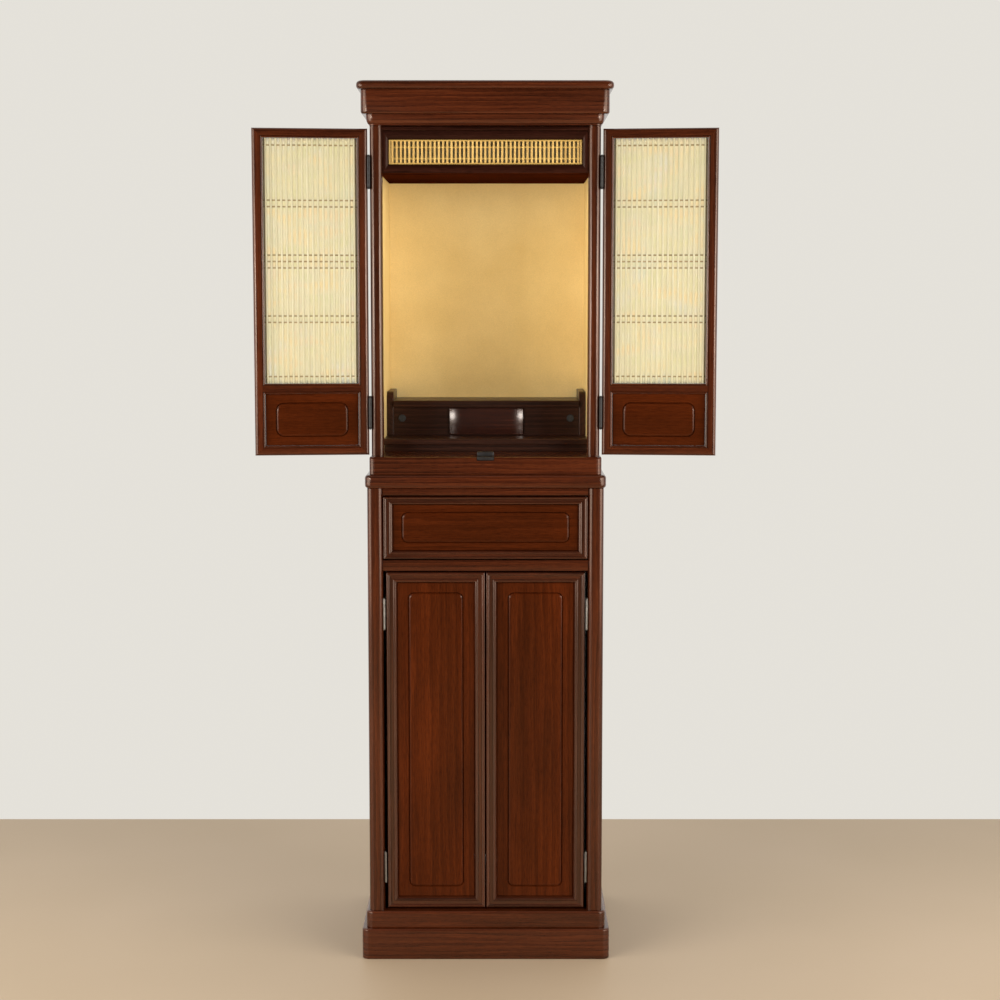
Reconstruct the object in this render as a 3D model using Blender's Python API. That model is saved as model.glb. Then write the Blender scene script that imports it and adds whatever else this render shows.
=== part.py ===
"""A tall household altar cabinet of dark stained wood.

The lower case holds one drawer and a pair of framed doors. The shrine on top has a gold lining,
a two-step stage with a small drawer, a grille over the opening and a pair of screen doors, which
stand open. Metres, +Z up, the front faces -Y, and the origin is under the middle of the cabinet.
"""

import math

import bmesh
import bpy

# Fits and roundness
SEAT = 0.0003
SEGMENTS = 5
ROUND = 16

# Lower case
DEPTH = 0.450
LOW_WIDTH = 0.505
LOW_HEIGHT = 0.923
LOW_POST = 0.033
LOW_POST_RADIUS = 0.011
LOW_SIDE = 0.018
SIDE_REVEAL = 0.002
LOW_BACK = 0.012
RAIL_SETBACK = 0.006
RAIL_DEPTH = 0.024
MIDDLE_RAIL = 0.0235
TOP_RAIL = 0.0155
DRAWER_BOARD = 0.012

# Boards that stand out round the lower case
CORNER_RADIUS = 0.011
PLINTH_HEIGHT = 0.067
PLINTH_OVERHANG = 0.016
PLINTH_WALL = 0.022
PLINTH_EDGE = 0.004
BASE_HEIGHT = 0.037
BASE_OVERHANG = 0.007
BASE_EDGE = 0.005
WAIST_HEIGHT = 0.029
WAIST_OVERHANG = 0.0045
WAIST_EDGE = 0.006

# Shrine
UP_WIDTH = 0.488
UP_HEIGHT = 0.696
SHRINE_SETBACK = 0.0085
UP_POST = 0.026
UP_POST_RADIUS = 0.009
UP_SIDE = 0.016
UP_SIDE_REVEAL = 0.0015
LINING = 0.0017
BACK_LINING = 0.0042
UP_BACK = 0.009
UP_BACK_INSET = 0.012
CEILING_THICK = 0.012

# Boards that stand out round the shrine
DECK_HEIGHT = 0.038
DECK_OVERHANG = 0.0035
DECK_EDGE = 0.004
FOOT_HEIGHT = 0.022
FOOT_OVERHANG = 0.006
FOOT_COVE = 0.006
FASCIA_HEIGHT = 0.050
FASCIA_OVERHANG = 0.016
FASCIA_WALL = 0.018
FASCIA_EDGE = 0.005
CAP_HEIGHT = 0.018
CAP_OVERHANG = 0.0245
CAP_EDGE = 0.007
FINE_EDGE = 0.001

# Framed fronts of the lower case
FRAME_THICK = 0.022
FRAME_WIDTH = 0.0235
FRAME_SETBACK = 0.004
PANEL_THICK = 0.0085
PANEL_LIFT = 0.004
LOW_DOOR_SIDE_GAP = 0.0065
LOW_DOOR_UNDER = 0.005
LOW_DOOR_OVER = 0.003
LOW_DOOR_MEETING = 0.0022
DRAWER_SIDE_GAP = 0.001
DRAWER_GAP = 0.0025
DRAWER_FRONT_HEIGHT = 0.134
DRAWER_FRAME_WIDTH = 0.0206
DRAWER_FRAME_RAIL = 0.018

# Drawer box
TRAY_SIDE_GAP = 0.0065
TRAY_BACK_GAP = 0.075
TRAY_DROP = 0.024
TRAY_WALL = 0.012
TRAY_FLOOR = 0.008
TRAY_CLEARANCE = 0.001

# Line cut round each panel
GROOVE_WIDTH = 0.006
GROOVE_DEPTH = 0.0022
GROOVE_RADIUS = 0.009
DOOR_GROOVE = (0.025, 0.023)
DRAWER_GROOVE = (0.020, 0.018)
SCREEN_GROOVE = (0.024, 0.021)

# Catch for the screen doors
CATCH_WIDTH = 0.036
CATCH_DROP = 0.008
CATCH_RISE = 0.009
CATCH_STOP = 0.012
CATCH_FIT = 0.0005
CATCH_CLEARANCE = 0.001

# Grille over the opening
TRANSOM_SETBACK = 0.006
TRANSOM_STILE = 0.0132
TRANSOM_RAIL = 0.018
TRANSOM_HEIGHT = 0.088
TRANSOM_HEADER = 0.009
GRILLE_THICK = 0.004
GRILLE_SETBACK = 0.008
GRILLE_SLATS = 45
GRILLE_SLAT = 0.0040
GRILLE_RAIL = 0.003

# Stage in the shrine
STEP_SETBACK = 0.1205
STEP_HEIGHT = 0.028
NOSING = 0.013
TOE_DEPTH = 0.015
APRON_SETBACK = 0.2325
APRON_THICK = 0.012
STAGE_HEIGHT = 0.107
SLAB_THICK = 0.015
SLAB_OVERHANG = 0.012
SLAB_EDGE = 0.004
CHEEK = 0.015
CHEEK_RISE = 0.020
CHEEK_PROUD = 0.004
CHEEK_RADIUS = 0.020
COVER_RADIUS = 0.0085
COVER_THICK = 0.003
COVER_INSET = 0.0189
COVER_DROP = 0.025

# Small drawer in the stage
SMALL_WIDTH = 0.165
SMALL_GAP = 0.0025
SMALL_PROUD = 0.010
SMALL_BOW = 0.0075
SMALL_BOW_LENGTH = 0.030
SMALL_WALL = 0.006
SMALL_LIP = 0.008
SMALL_TRAY_DROP = 0.014
SMALL_TRAY_BACK_GAP = 0.050

# Screen doors of the shrine
SCREEN_OPEN = 174
SCREEN_CLOSING_GAP = 0.003
SCREEN_MEETING = 0.003
SCREEN_UNDER = 0.0022
SCREEN_OVER = 0.005
SCREEN_THICK = 0.022
SCREEN_FRAME = 0.0222
SCREEN_EDGE = 0.004
SCREEN_RAIL = 0.0205
MIDDLE_BAR = 0.0215
SCREEN_PANEL_HEIGHT = 0.111
SCREEN_PANEL_THICK = 0.008
SLATS = 18
SLAT = 0.0048
SLAT_THICK = 0.004
SLAT_RAIL = 0.004
CLOTH_THICK = 0.0016
BAR_HEIGHT = 0.003
BAR_THICK = 0.0016
BAR_END = 0.0145
BAR_PITCH = 0.0135

# Hinges
HINGE_LENGTH = 0.069
HINGE_END = 0.056
LEAF_THICK = 0.0012
SCREEN_PIN_OFFSET = 0.002
SCREEN_PIN_RADIUS = 0.0034
SCREEN_LEAF = 0.024
LOW_PIN_OFFSET = 0.003
LOW_PIN_RADIUS = 0.0025
LOW_PIN_SETBACK = 0.0045
LOW_LEAF = 0.022

# Heights that follow from the sizes above
BASE_TOP = PLINTH_HEIGHT + BASE_HEIGHT
LOW_TOP = BASE_TOP + LOW_HEIGHT
WAIST_TOP = LOW_TOP + WAIST_HEIGHT
DECK_TOP = WAIST_TOP + DECK_HEIGHT
UP_TOP = DECK_TOP + UP_HEIGHT
FOOT_TOP = UP_TOP + FOOT_HEIGHT
FASCIA_TOP = FOOT_TOP + FASCIA_HEIGHT
CAP_TOP = FASCIA_TOP + CAP_HEIGHT
CEILING = UP_TOP - TRANSOM_HEADER - TRANSOM_HEIGHT
DRAWER_SILL = LOW_TOP - TOP_RAIL - 2 * DRAWER_GAP - DRAWER_FRONT_HEIGHT

# Upright planes that follow from them
FRONT = -DEPTH / 2
BACK = DEPTH / 2
LOW_FRONT = FRONT + PLINTH_OVERHANG
FRAME_BACK = LOW_FRONT + FRAME_SETBACK + FRAME_THICK
LOW_OPENING = LOW_WIDTH / 2 - LOW_POST
LOW_INSIDE = LOW_WIDTH / 2 - SIDE_REVEAL - LOW_SIDE
SHRINE_FRONT = LOW_FRONT + SHRINE_SETBACK
UP_FRONT = SHRINE_FRONT + SCREEN_THICK + SCREEN_CLOSING_GAP
POST_BACK = UP_FRONT + UP_POST
UP_OPENING = UP_WIDTH / 2 - UP_POST
UP_SIDE_OUT = UP_WIDTH / 2 - UP_SIDE_REVEAL
UP_INSIDE = UP_SIDE_OUT - UP_SIDE - SEAT - LINING
LINING_FACE = BACK - UP_BACK_INSET - UP_BACK - SEAT - BACK_LINING
APRON = UP_FRONT + APRON_SETBACK
SCREEN_LINE = (UP_WIDTH / 2 + SCREEN_PIN_OFFSET, UP_FRONT - SCREEN_CLOSING_GAP / 2)
LOW_LINE = (LOW_OPENING - LOW_PIN_OFFSET, LOW_FRONT + LOW_PIN_SETBACK)

WOOD = ("dark_wood", (0.075, 0.022, 0.012), 0.32, 0.0)
WOOD_PANEL = ("panel_wood", (0.100, 0.028, 0.013), 0.34, 0.0)
STAGE_WOOD = ("stage_wood", (0.040, 0.016, 0.011), 0.30, 0.0)
INSIDE_WOOD = ("inside_wood", (0.160, 0.085, 0.045), 0.55, 0.0)
GOLD = ("gold_lining", (0.780, 0.520, 0.180), 0.45, 0.25)
SLAT_GOLD = ("gold_slats", (0.800, 0.600, 0.260), 0.40, 0.2)
SCREEN_CLOTH = ("screen_cloth", (0.860, 0.780, 0.560), 0.70, 0.0)
BLACK_METAL = ("black_metal", (0.020, 0.018, 0.018), 0.35, 0.9)
STEEL = ("steel", (0.620, 0.600, 0.570), 0.30, 1.0)
BLACK_RUBBER = ("black_rubber", (0.012, 0.012, 0.014), 0.60, 0.0)


def clear_scene():
    for item in list(bpy.data.objects):
        bpy.data.objects.remove(item)


def finish(colour):
    """Return the Principled material with this name, making it the first time."""
    name, base, roughness, metallic = colour
    made = bpy.data.materials.get(name)
    if made is None:
        made = bpy.data.materials.new(name)
        made.use_nodes = True
        shader = made.node_tree.nodes["Principled BSDF"]
        shader.inputs["Base Color"].default_value = (*base, 1.0)
        shader.inputs["Roughness"].default_value = roughness
        shader.inputs["Metallic"].default_value = metallic
    return made


def solid(name, points, faces, colour, parent=None):
    """Make one closed mesh object, its faces turned outwards."""
    mesh = bpy.data.meshes.new(name)
    mesh.from_pydata(points, [], faces)
    shape = bmesh.new()
    shape.from_mesh(mesh)
    bmesh.ops.recalc_face_normals(shape, faces=shape.faces)
    shape.to_mesh(mesh)
    shape.free()
    mesh.shade_smooth()
    mesh.set_sharp_from_angle(angle=math.radians(35))
    made = bpy.data.objects.new(name, mesh)
    made.data.materials.append(finish(colour))
    bpy.context.scene.collection.objects.link(made)
    made.parent = parent
    return made


def box(name, x, y, z, colour, parent=None):
    """Make a plain board from its low and high bounds."""
    points = [(px, py, pz) for px in x for py in y for pz in z]
    faces = [(0, 1, 3, 2), (4, 6, 7, 5), (0, 4, 5, 1), (2, 3, 7, 6), (0, 2, 6, 4), (1, 5, 7, 3)]
    return solid(name, points, faces, colour, parent)


def joined(rings, closed):
    """Join equal rings of points with walls, and either close the row or cap its two ends."""
    count = len(rings[0])
    points = [point for ring in rings for point in ring]
    faces = []
    if not closed:
        faces = [tuple(range(count)), tuple(range(len(points) - count, len(points)))]
    for level in range(len(rings) if closed else len(rings) - 1):
        low = level * count
        high = (level + 1) % len(rings) * count
        for i in range(count):
            j = (i + 1) % count
            faces.append((low + i, low + j, high + j, high + i))
    return points, faces


def stack(name, rings, colour, parent=None):
    return solid(name, *joined(rings, False), colour, parent)


def loop(name, rings, colour, parent=None):
    return solid(name, *joined(rings, True), colour, parent)


def upright(name, outline, heights, colour):
    """Raise a plan outline straight up between two heights."""
    return stack(name, [[(x, y, z) for x, y in outline] for z in heights], colour)


def carried(name, section, ends, colour, parent=None):
    """Carry a section of (y, z) points straight along X."""
    return stack(name, [[(x, y, z) for y, z in section] for x in ends], colour, parent)


def cut_away(target, cutter, operation="DIFFERENCE"):
    """Cut another object out of this one, or join it on, with an exact Boolean."""
    cutter.hide_render = True
    cutter.display_type = "WIRE"
    step = target.modifiers.new(cutter.name, "BOOLEAN")
    step.operation = operation
    step.solver = "EXACT"
    step.object = cutter


def arc(centre, radius, start, end, flatten=1.0):
    """Return points of an arc with both ends, angles in degrees, its second radius flattened."""
    turns = [math.radians(start + (end - start) * i / SEGMENTS) for i in range(SEGMENTS + 1)]
    return [(centre[0] + radius * math.cos(t), centre[1] + radius * flatten * math.sin(t)) for t in turns]


def round_front(x, front, back, radius, flatten=1.0):
    """Return a plan outline: square at the back, with both front corners rounded."""
    start = front + radius * flatten
    left = arc((x[0] + radius, start), radius, 180, 270, flatten)
    right = arc((x[1] - radius, start), radius, 270, 360, flatten)
    return left + right + [(x[1], back), (x[0], back)]


def moulded_board(name, case_width, case_front, overhang, levels, colour=WOOD):
    """Pile up a case's plan, widened by an overhang, through levels of (inset, height)."""
    rings = []
    for inset, height in levels:
        half = case_width / 2 + overhang - inset
        radius = CORNER_RADIUS - inset / 2
        outline = round_front((-half, half), case_front - overhang + inset, BACK, radius)
        rings.append([(x, y, height) for x, y in outline])
    return stack(name, rings, colour)


def eased(low, high, lower_edge, upper_edge):
    """Return levels for a board with a quarter-round edge below and above."""
    swings = [math.radians(turn) for turn in (0, 45, 90)]
    levels = [(lower_edge * (1 - math.sin(t)), low + lower_edge * (1 - math.cos(t))) for t in swings]
    return levels + [(upper_edge * (1 - math.cos(t)), high - upper_edge * (1 - math.sin(t))) for t in swings]


def hollow(target, x, y, z):
    """Cut a square well into a board."""
    cut_away(target, box(target.name + "_well", x, y, z, INSIDE_WOOD))


def mirrored(side, near, far):
    """Return the low and high X of a piece on the left (-1) or the right (1)."""
    return tuple(sorted((side * near, side * far)))


def raised_section(width, thick):
    """Return a frame's section as (inset, rise): a broad crown, and a step down at the panel."""
    shares = [(0.0, 0.0), (0.0, 0.50), (0.06, 0.75), (0.19, 0.92), (0.36, 1.0), (0.62, 0.98)]
    shares += [(0.79, 0.90), (0.87, 0.77), (1.0, 0.70), (1.0, 0.0)]
    return [(inset * width, rise * thick) for inset, rise in shares]


def screen_section(width, thick, edge):
    """Return a section that is the same on both faces, rounded outside and sloped inside."""
    half = thick / 2
    upper = [(0.0, half - edge), (edge * 0.3, half - edge * 0.3), (edge, half)]
    upper += [(width - edge, half), (width, half - edge)]
    return upper + [(inset, -rise) for inset, rise in reversed(upper)]


def mitred_frame(name, x, z, section, rail_share, face, colour, parent=None):
    """Carry a section round a rectangle. The rise goes forwards from the face plane."""
    corners = ((x[0], z[0], 1, 1), (x[1], z[0], -1, 1), (x[1], z[1], -1, -1), (x[0], z[1], 1, -1))
    rings = []
    for cx, cz, sx, sz in corners:
        rings.append([(cx + sx * u, face - v, cz + sz * u * rail_share) for u, v in section])
    return loop(name, rings, colour, parent)


def rounded_rectangle(x, z, radius):
    points = arc((x[1] - radius, z[1] - radius), radius, 0, 90)
    points += arc((x[0] + radius, z[1] - radius), radius, 90, 180)
    points += arc((x[0] + radius, z[0] + radius), radius, 180, 270)
    return points + arc((x[1] - radius, z[0] + radius), radius, 270, 360)


def grooved_panel(name, x, z, face, depth, insets, parent=None):
    """Make a flat panel with a line cut in its face. A negative depth faces backwards."""
    panel = box(name, x, sorted((face, face + depth)), z, WOOD_PANEL, parent)
    inward = math.copysign(1.0, depth)
    half = GROOVE_WIDTH / 2
    rings = []
    for across, sink in ((-half, -half), (half, -half), (half / 3, GROOVE_DEPTH), (-half / 3, GROOVE_DEPTH)):
        line_x = (x[0] + insets[0] + across, x[1] - insets[0] - across)
        line_z = (z[0] + insets[1] + across, z[1] - insets[1] - across)
        outline = rounded_rectangle(line_x, line_z, GROOVE_RADIUS - across)
        rings.append([(px, face + inward * sink, pz) for px, pz in outline])
    cut_away(panel, loop(name + "_line", rings, WOOD_PANEL, parent))
    return panel


def slat_screen(name, x, z, y, count, slat, rail, parent=None):
    """Make a ladder on its side: a row of upright slats between a rail below and one above.

    Each rail's face is a fan of triangles from its two outer corners to the points along its
    inner edge, where the slats stand.
    """
    pitch = (x[1] - x[0]) / count
    lines = [x[0]]
    for i in range(count):
        middle = x[0] + pitch * (i + 0.5)
        lines += [middle - slat / 2, middle + slat / 2]
    lines.append(x[1])
    last = len(lines) - 1
    half = last // 2
    row = len(lines) + 2
    points = []
    for depth in y:
        for outer, inner in ((z[0], z[0] + rail), (z[1], z[1] - rail)):
            points += [(px, depth, inner) for px in lines]
            points += [(x[0], depth, outer), (x[1], depth, outer)]

    def at(side, level, i):
        return (side * 2 + level) * row + i

    faces = []
    for side in (0, 1):
        for level in (0, 1):
            left = at(side, level, last + 1)
            right = at(side, level, last + 2)
            for i in range(last):
                corner = left if i < half else right
                faces.append((corner, at(side, level, i), at(side, level, i + 1)))
            faces.append((left, at(side, level, half), right))
        for i in range(1, last, 2):
            faces.append((at(side, 0, i), at(side, 0, i + 1), at(side, 1, i + 1), at(side, 1, i)))
    for level in (0, 1):
        edges = [(i, i + 1) for i in range(0, last, 2)]
        edges += [(last + 1, last + 2), (0, last + 1), (last, last + 2)]
        for a, b in edges:
            faces.append((at(0, level, a), at(0, level, b), at(1, level, b), at(1, level, a)))
    for i in range(1, last):
        faces.append((at(0, 0, i), at(0, 1, i), at(1, 1, i), at(1, 0, i)))
    return solid(name, points, faces, SLAT_GOLD, parent)


def hinge(name, line, side, post_gap, radius, leaf, z, colour):
    """Raise a pin barrel with the leaf that lies against its post, in one outline.

    The outline is drawn about the pin as (away from the post, backwards), then turned to its side.
    """
    near = SEAT - post_gap
    far = near + LEAF_THICK
    outline = [(near, leaf)]
    if -near < radius:
        first = math.degrees(math.acos(near / radius))
    else:
        outline.append((near, 0.0))
        first = 180.0
    last = 360 + math.degrees(math.acos(far / radius))
    for i in range(ROUND - 1):
        turn = math.radians(first + (last - first) * i / (ROUND - 2))
        outline.append((radius * math.cos(turn), radius * math.sin(turn)))
    outline.append((far, leaf))
    away = math.copysign(1.0, side)
    upright(name, [(line[0] + away * u, line[1] + v) for u, v in outline], z, colour)


def hinge_spans(z):
    """Return the heights of the two hinges of a door."""
    low = z[0] + HINGE_END
    high = z[1] - HINGE_END
    return (("bottom", (low, low + HINGE_LENGTH)), ("top", (high - HINGE_LENGTH, high)))


def hinge_line(name, x, y, degrees):
    """Put an empty on a door's upright hinge line, turned as far as the door stands open."""
    made = bpy.data.objects.new(name, None)
    made.location = (x, y, 0.0)
    made.rotation_euler = (0.0, 0.0, math.radians(degrees))
    bpy.context.scene.collection.objects.link(made)
    return made


def build_base():
    levels = eased(0.0, PLINTH_HEIGHT, PLINTH_EDGE / 2, PLINTH_EDGE)
    plinth = moulded_board("plinth", LOW_WIDTH, LOW_FRONT, PLINTH_OVERHANG, levels)
    half = LOW_WIDTH / 2 + PLINTH_OVERHANG - PLINTH_WALL
    well_y = (FRONT + PLINTH_WALL, BACK - PLINTH_WALL)
    hollow(plinth, (-half, half), well_y, (-PLINTH_WALL, PLINTH_HEIGHT + PLINTH_WALL))
    levels = eased(PLINTH_HEIGHT + SEAT, BASE_TOP, FINE_EDGE, BASE_EDGE)
    moulded_board("base_board", LOW_WIDTH, LOW_FRONT, BASE_OVERHANG, levels)


def build_low_case():
    z = (BASE_TOP + SEAT, LOW_TOP - SEAT)
    post_back = LOW_FRONT + LOW_POST
    for side, word in ((-1, "left"), (1, "right")):
        x = mirrored(side, LOW_OPENING, LOW_WIDTH / 2)
        upright("lower_post_" + word, round_front(x, LOW_FRONT, post_back, LOW_POST_RADIUS), z, WOOD)
        x = mirrored(side, LOW_INSIDE, LOW_INSIDE + LOW_SIDE)
        box("lower_side_" + word, x, (post_back + SEAT, BACK), z, WOOD)
    inside = (SEAT - LOW_INSIDE, LOW_INSIDE - SEAT)
    box("lower_back", inside, (BACK - LOW_BACK, BACK), z, INSIDE_WOOD)
    rail_x = (SEAT - LOW_OPENING, LOW_OPENING - SEAT)
    rail_y = (LOW_FRONT + RAIL_SETBACK, LOW_FRONT + RAIL_SETBACK + RAIL_DEPTH)
    box("top_rail", rail_x, rail_y, (LOW_TOP - TOP_RAIL, z[1]), WOOD)
    box("middle_rail", rail_x, rail_y, (DRAWER_SILL - MIDDLE_RAIL, DRAWER_SILL), WOOD)
    board_y = (post_back + SEAT, BACK - LOW_BACK - SEAT)
    box("drawer_board", inside, board_y, (DRAWER_SILL - DRAWER_BOARD, DRAWER_SILL), INSIDE_WOOD)


def build_drawer():
    half = LOW_OPENING - DRAWER_SIDE_GAP
    z = (DRAWER_SILL + DRAWER_GAP, DRAWER_SILL + DRAWER_GAP + DRAWER_FRONT_HEIGHT)
    section = raised_section(DRAWER_FRAME_WIDTH, FRAME_THICK)
    share = DRAWER_FRAME_RAIL / DRAWER_FRAME_WIDTH
    mitred_frame("drawer_frame", (-half, half), z, section, share, FRAME_BACK, WOOD)
    inner = half - DRAWER_FRAME_WIDTH - SEAT
    panel_z = (z[0] + DRAWER_FRAME_RAIL + SEAT, z[1] - DRAWER_FRAME_RAIL - SEAT)
    face = FRAME_BACK - PANEL_LIFT - PANEL_THICK
    grooved_panel("drawer_panel", (-inner, inner), panel_z, face, PANEL_THICK, DRAWER_GROOVE)
    tray_half = half - TRAY_SIDE_GAP
    low = DRAWER_SILL + TRAY_CLEARANCE
    y = (FRAME_BACK + SEAT, BACK - LOW_BACK - TRAY_BACK_GAP)
    tray = box("drawer_tray", (-tray_half, tray_half), y, (low, z[1] - TRAY_DROP), INSIDE_WOOD)
    well = tray_half - TRAY_WALL
    hollow(tray, (-well, well), (y[0] + TRAY_WALL, y[1] - TRAY_WALL), (low + TRAY_FLOOR, z[1]))


def build_low_doors():
    z = (BASE_TOP + LOW_DOOR_UNDER, DRAWER_SILL - MIDDLE_RAIL - LOW_DOOR_OVER)
    near = LOW_DOOR_MEETING / 2 - LOW_LINE[0]
    far = LOW_OPENING - LOW_DOOR_SIDE_GAP - LOW_LINE[0]
    section = raised_section(FRAME_WIDTH, FRAME_THICK)
    back = FRAME_BACK - LOW_LINE[1]
    for side, word in ((-1, "left"), (1, "right")):
        line = hinge_line("lower_door_line_" + word, side * LOW_LINE[0], LOW_LINE[1], 0)
        x = mirrored(side, near, far)
        mitred_frame("lower_door_frame_" + word, x, z, section, 1.0, back, WOOD, line)
        panel_x = (x[0] + FRAME_WIDTH + SEAT, x[1] - FRAME_WIDTH - SEAT)
        panel_z = (z[0] + FRAME_WIDTH + SEAT, z[1] - FRAME_WIDTH - SEAT)
        face = back - PANEL_LIFT - PANEL_THICK
        name = "lower_door_panel_" + word
        grooved_panel(name, panel_x, panel_z, face, PANEL_THICK, DOOR_GROOVE, line)
        pin = (side * LOW_LINE[0], LOW_LINE[1])
        for place, span in hinge_spans(z):
            name = f"lower_hinge_{word}_{place}"
            hinge(name, pin, -side, LOW_PIN_OFFSET, LOW_PIN_RADIUS, LOW_LEAF, span, STEEL)


def build_waist():
    levels = eased(LOW_TOP, WAIST_TOP - SEAT, WAIST_EDGE, WAIST_EDGE)
    moulded_board("waist_board", LOW_WIDTH, LOW_FRONT, WAIST_OVERHANG, levels)
    levels = eased(WAIST_TOP, DECK_TOP, FINE_EDGE, DECK_EDGE)
    deck = moulded_board("deck_board", UP_WIDTH, SHRINE_FRONT, DECK_OVERHANG, levels)
    front = SHRINE_FRONT - DECK_OVERHANG
    stop = UP_FRONT - SCREEN_CLOSING_GAP + CATCH_CLEARANCE
    back = stop + CATCH_STOP
    half = CATCH_WIDTH / 2
    notch_y = (front - DECK_EDGE, back + CATCH_FIT)
    notch_x = (-half - CATCH_FIT, half + CATCH_FIT)
    hollow(deck, notch_x, notch_y, (DECK_TOP - CATCH_DROP, DECK_TOP + CATCH_DROP))
    low = DECK_TOP - CATCH_DROP + SEAT
    top = DECK_TOP + CATCH_RISE
    section = [(front + DECK_EDGE / 2, low), (back, low), (back, top), (stop, top)]
    section += [(stop, DECK_TOP - CATCH_FIT), (front + DECK_EDGE / 2, DECK_TOP - CATCH_FIT)]
    carried("door_catch", section, (-half, half), BLACK_METAL)


def build_up_case():
    z = (DECK_TOP + SEAT, UP_TOP - SEAT)
    for side, word in ((-1, "left"), (1, "right")):
        x = mirrored(side, UP_OPENING, UP_WIDTH / 2)
        upright("upper_post_" + word, round_front(x, UP_FRONT, POST_BACK, UP_POST_RADIUS), z, WOOD)
        x = mirrored(side, UP_SIDE_OUT - UP_SIDE, UP_SIDE_OUT)
        box("upper_side_" + word, x, (POST_BACK + SEAT, BACK), z, WOOD)
        x = mirrored(side, UP_INSIDE, UP_INSIDE + LINING)
        box("gold_lining_" + word, x, (POST_BACK + SEAT, LINING_FACE - SEAT), z, GOLD)
    half = UP_INSIDE + LINING
    back = LINING_FACE + BACK_LINING + SEAT
    box("upper_back", (-half, half), (back, back + UP_BACK), z, INSIDE_WOOD)
    box("gold_lining_back", (-half, half), (LINING_FACE, LINING_FACE + BACK_LINING), z, GOLD)
    inside = (SEAT - UP_INSIDE, UP_INSIDE - SEAT)
    ceiling_z = (CEILING, CEILING + CEILING_THICK)
    box("ceiling_board", inside, (POST_BACK + SEAT, LINING_FACE - SEAT), ceiling_z, STAGE_WOOD)


def build_transom():
    half = UP_OPENING - SEAT
    thick = UP_POST - TRANSOM_SETBACK
    z = (CEILING, CEILING + TRANSOM_HEIGHT)
    section = [(0.0, 0.0), (0.0, thick), (TRANSOM_STILE * 0.35, thick)]
    section += [(TRANSOM_STILE * 0.85, thick * 0.75), (TRANSOM_STILE, thick * 0.65), (TRANSOM_STILE, 0.0)]
    share = TRANSOM_RAIL / TRANSOM_STILE
    mitred_frame("transom_frame", (-half, half), z, section, share, POST_BACK, WOOD)
    front = UP_FRONT + TRANSOM_SETBACK
    box("transom_header", (-half, half), (front, POST_BACK), (z[1] + SEAT, UP_TOP - SEAT), WOOD)
    inner = half - TRANSOM_STILE - SEAT
    grille_z = (z[0] + TRANSOM_RAIL + SEAT, z[1] - TRANSOM_RAIL - SEAT)
    y = (front + GRILLE_SETBACK, front + GRILLE_SETBACK + GRILLE_THICK)
    slat_screen("transom_grille", (-inner, inner), grille_z, y, GRILLE_SLATS, GRILLE_SLAT, GRILLE_RAIL)


def nosed_board(name, half, front, back, z, underside):
    """Carry a board's section along X: a rounded upper front edge, and what is under it."""
    edge = arc((front + SLAB_EDGE, z[1] - SLAB_EDGE), SLAB_EDGE, 180, 90)
    carried(name, [(back, z[1]), (back, z[0])] + underside + edge, (-half, half), STAGE_WOOD)


def build_stage():
    inside = UP_INSIDE - SEAT
    back = LINING_FACE - SEAT
    front = UP_FRONT + STEP_SETBACK
    step_top = DECK_TOP + STEP_HEIGHT
    toe = front + TOE_DEPTH
    under_nosing = [(toe, DECK_TOP + SEAT), (toe, step_top - NOSING), (front, step_top - NOSING)]
    nosed_board("stage_step", inside, front, APRON - SEAT, (DECK_TOP + SEAT, step_top), under_nosing)
    between = inside - CHEEK - SEAT
    top = DECK_TOP + STAGE_HEIGHT
    slab_low = top - SLAB_THICK
    front = APRON - SLAB_OVERHANG
    nosed_board("stage_slab", between, front, back, (slab_low, top), [(front, slab_low)])
    apron_z = (DECK_TOP + SEAT, slab_low - SEAT)
    apron = box("stage_apron", (-between, between), (APRON, APRON + APRON_THICK), apron_z, STAGE_WOOD)
    z = (step_top + SMALL_GAP, slab_low - SMALL_GAP)
    tray_half = SMALL_WIDTH / 2 - SMALL_LIP
    tray_z = (z[0] + TRAY_CLEARANCE, z[1] - SMALL_TRAY_DROP)
    mouth = tray_half + TRAY_CLEARANCE
    mouth_z = (z[0], tray_z[1] + TRAY_CLEARANCE)
    hollow(apron, (-mouth, mouth), (APRON - APRON_THICK, APRON + 2 * APRON_THICK), mouth_z)
    build_small_drawer(z, tray_half, tray_z)
    for side, word in ((-1, "left"), (1, "right")):
        cheek("stage_cheek_" + word, side, (step_top + SEAT, top + CHEEK_RISE), back)
        cable_cover("cable_cover_" + word, (side * (between - COVER_INSET), slab_low - COVER_DROP))


def cheek(name, side, z, back):
    """Make a side board of the stage, its upper front corner rounded."""
    front = APRON - CHEEK_PROUD
    corner = arc((front + CHEEK_RADIUS, z[1] - CHEEK_RADIUS), CHEEK_RADIUS, 180, 90)
    ends = mirrored(side, UP_INSIDE - SEAT - CHEEK, UP_INSIDE - SEAT)
    front_low = [(APRON, DECK_TOP + SEAT), (APRON, z[0]), (front, z[0])]
    carried(name, [(back, z[1]), (back, DECK_TOP + SEAT)] + front_low + corner, ends, STAGE_WOOD)


def cable_cover(name, centre):
    """Make a shallow round cap with an eased rim, lying against the apron."""
    turns = [2 * math.pi * i / ROUND for i in range(ROUND)]
    rings = []
    for radius, rise in ((1.0, 0.0), (1.0, 0.5), (0.8, 1.0)):
        r = COVER_RADIUS * radius
        y = APRON - SEAT - COVER_THICK * rise
        rings.append([(centre[0] + r * math.cos(t), y, centre[1] + r * math.sin(t)) for t in turns])
    stack(name, rings, BLACK_RUBBER)


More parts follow.
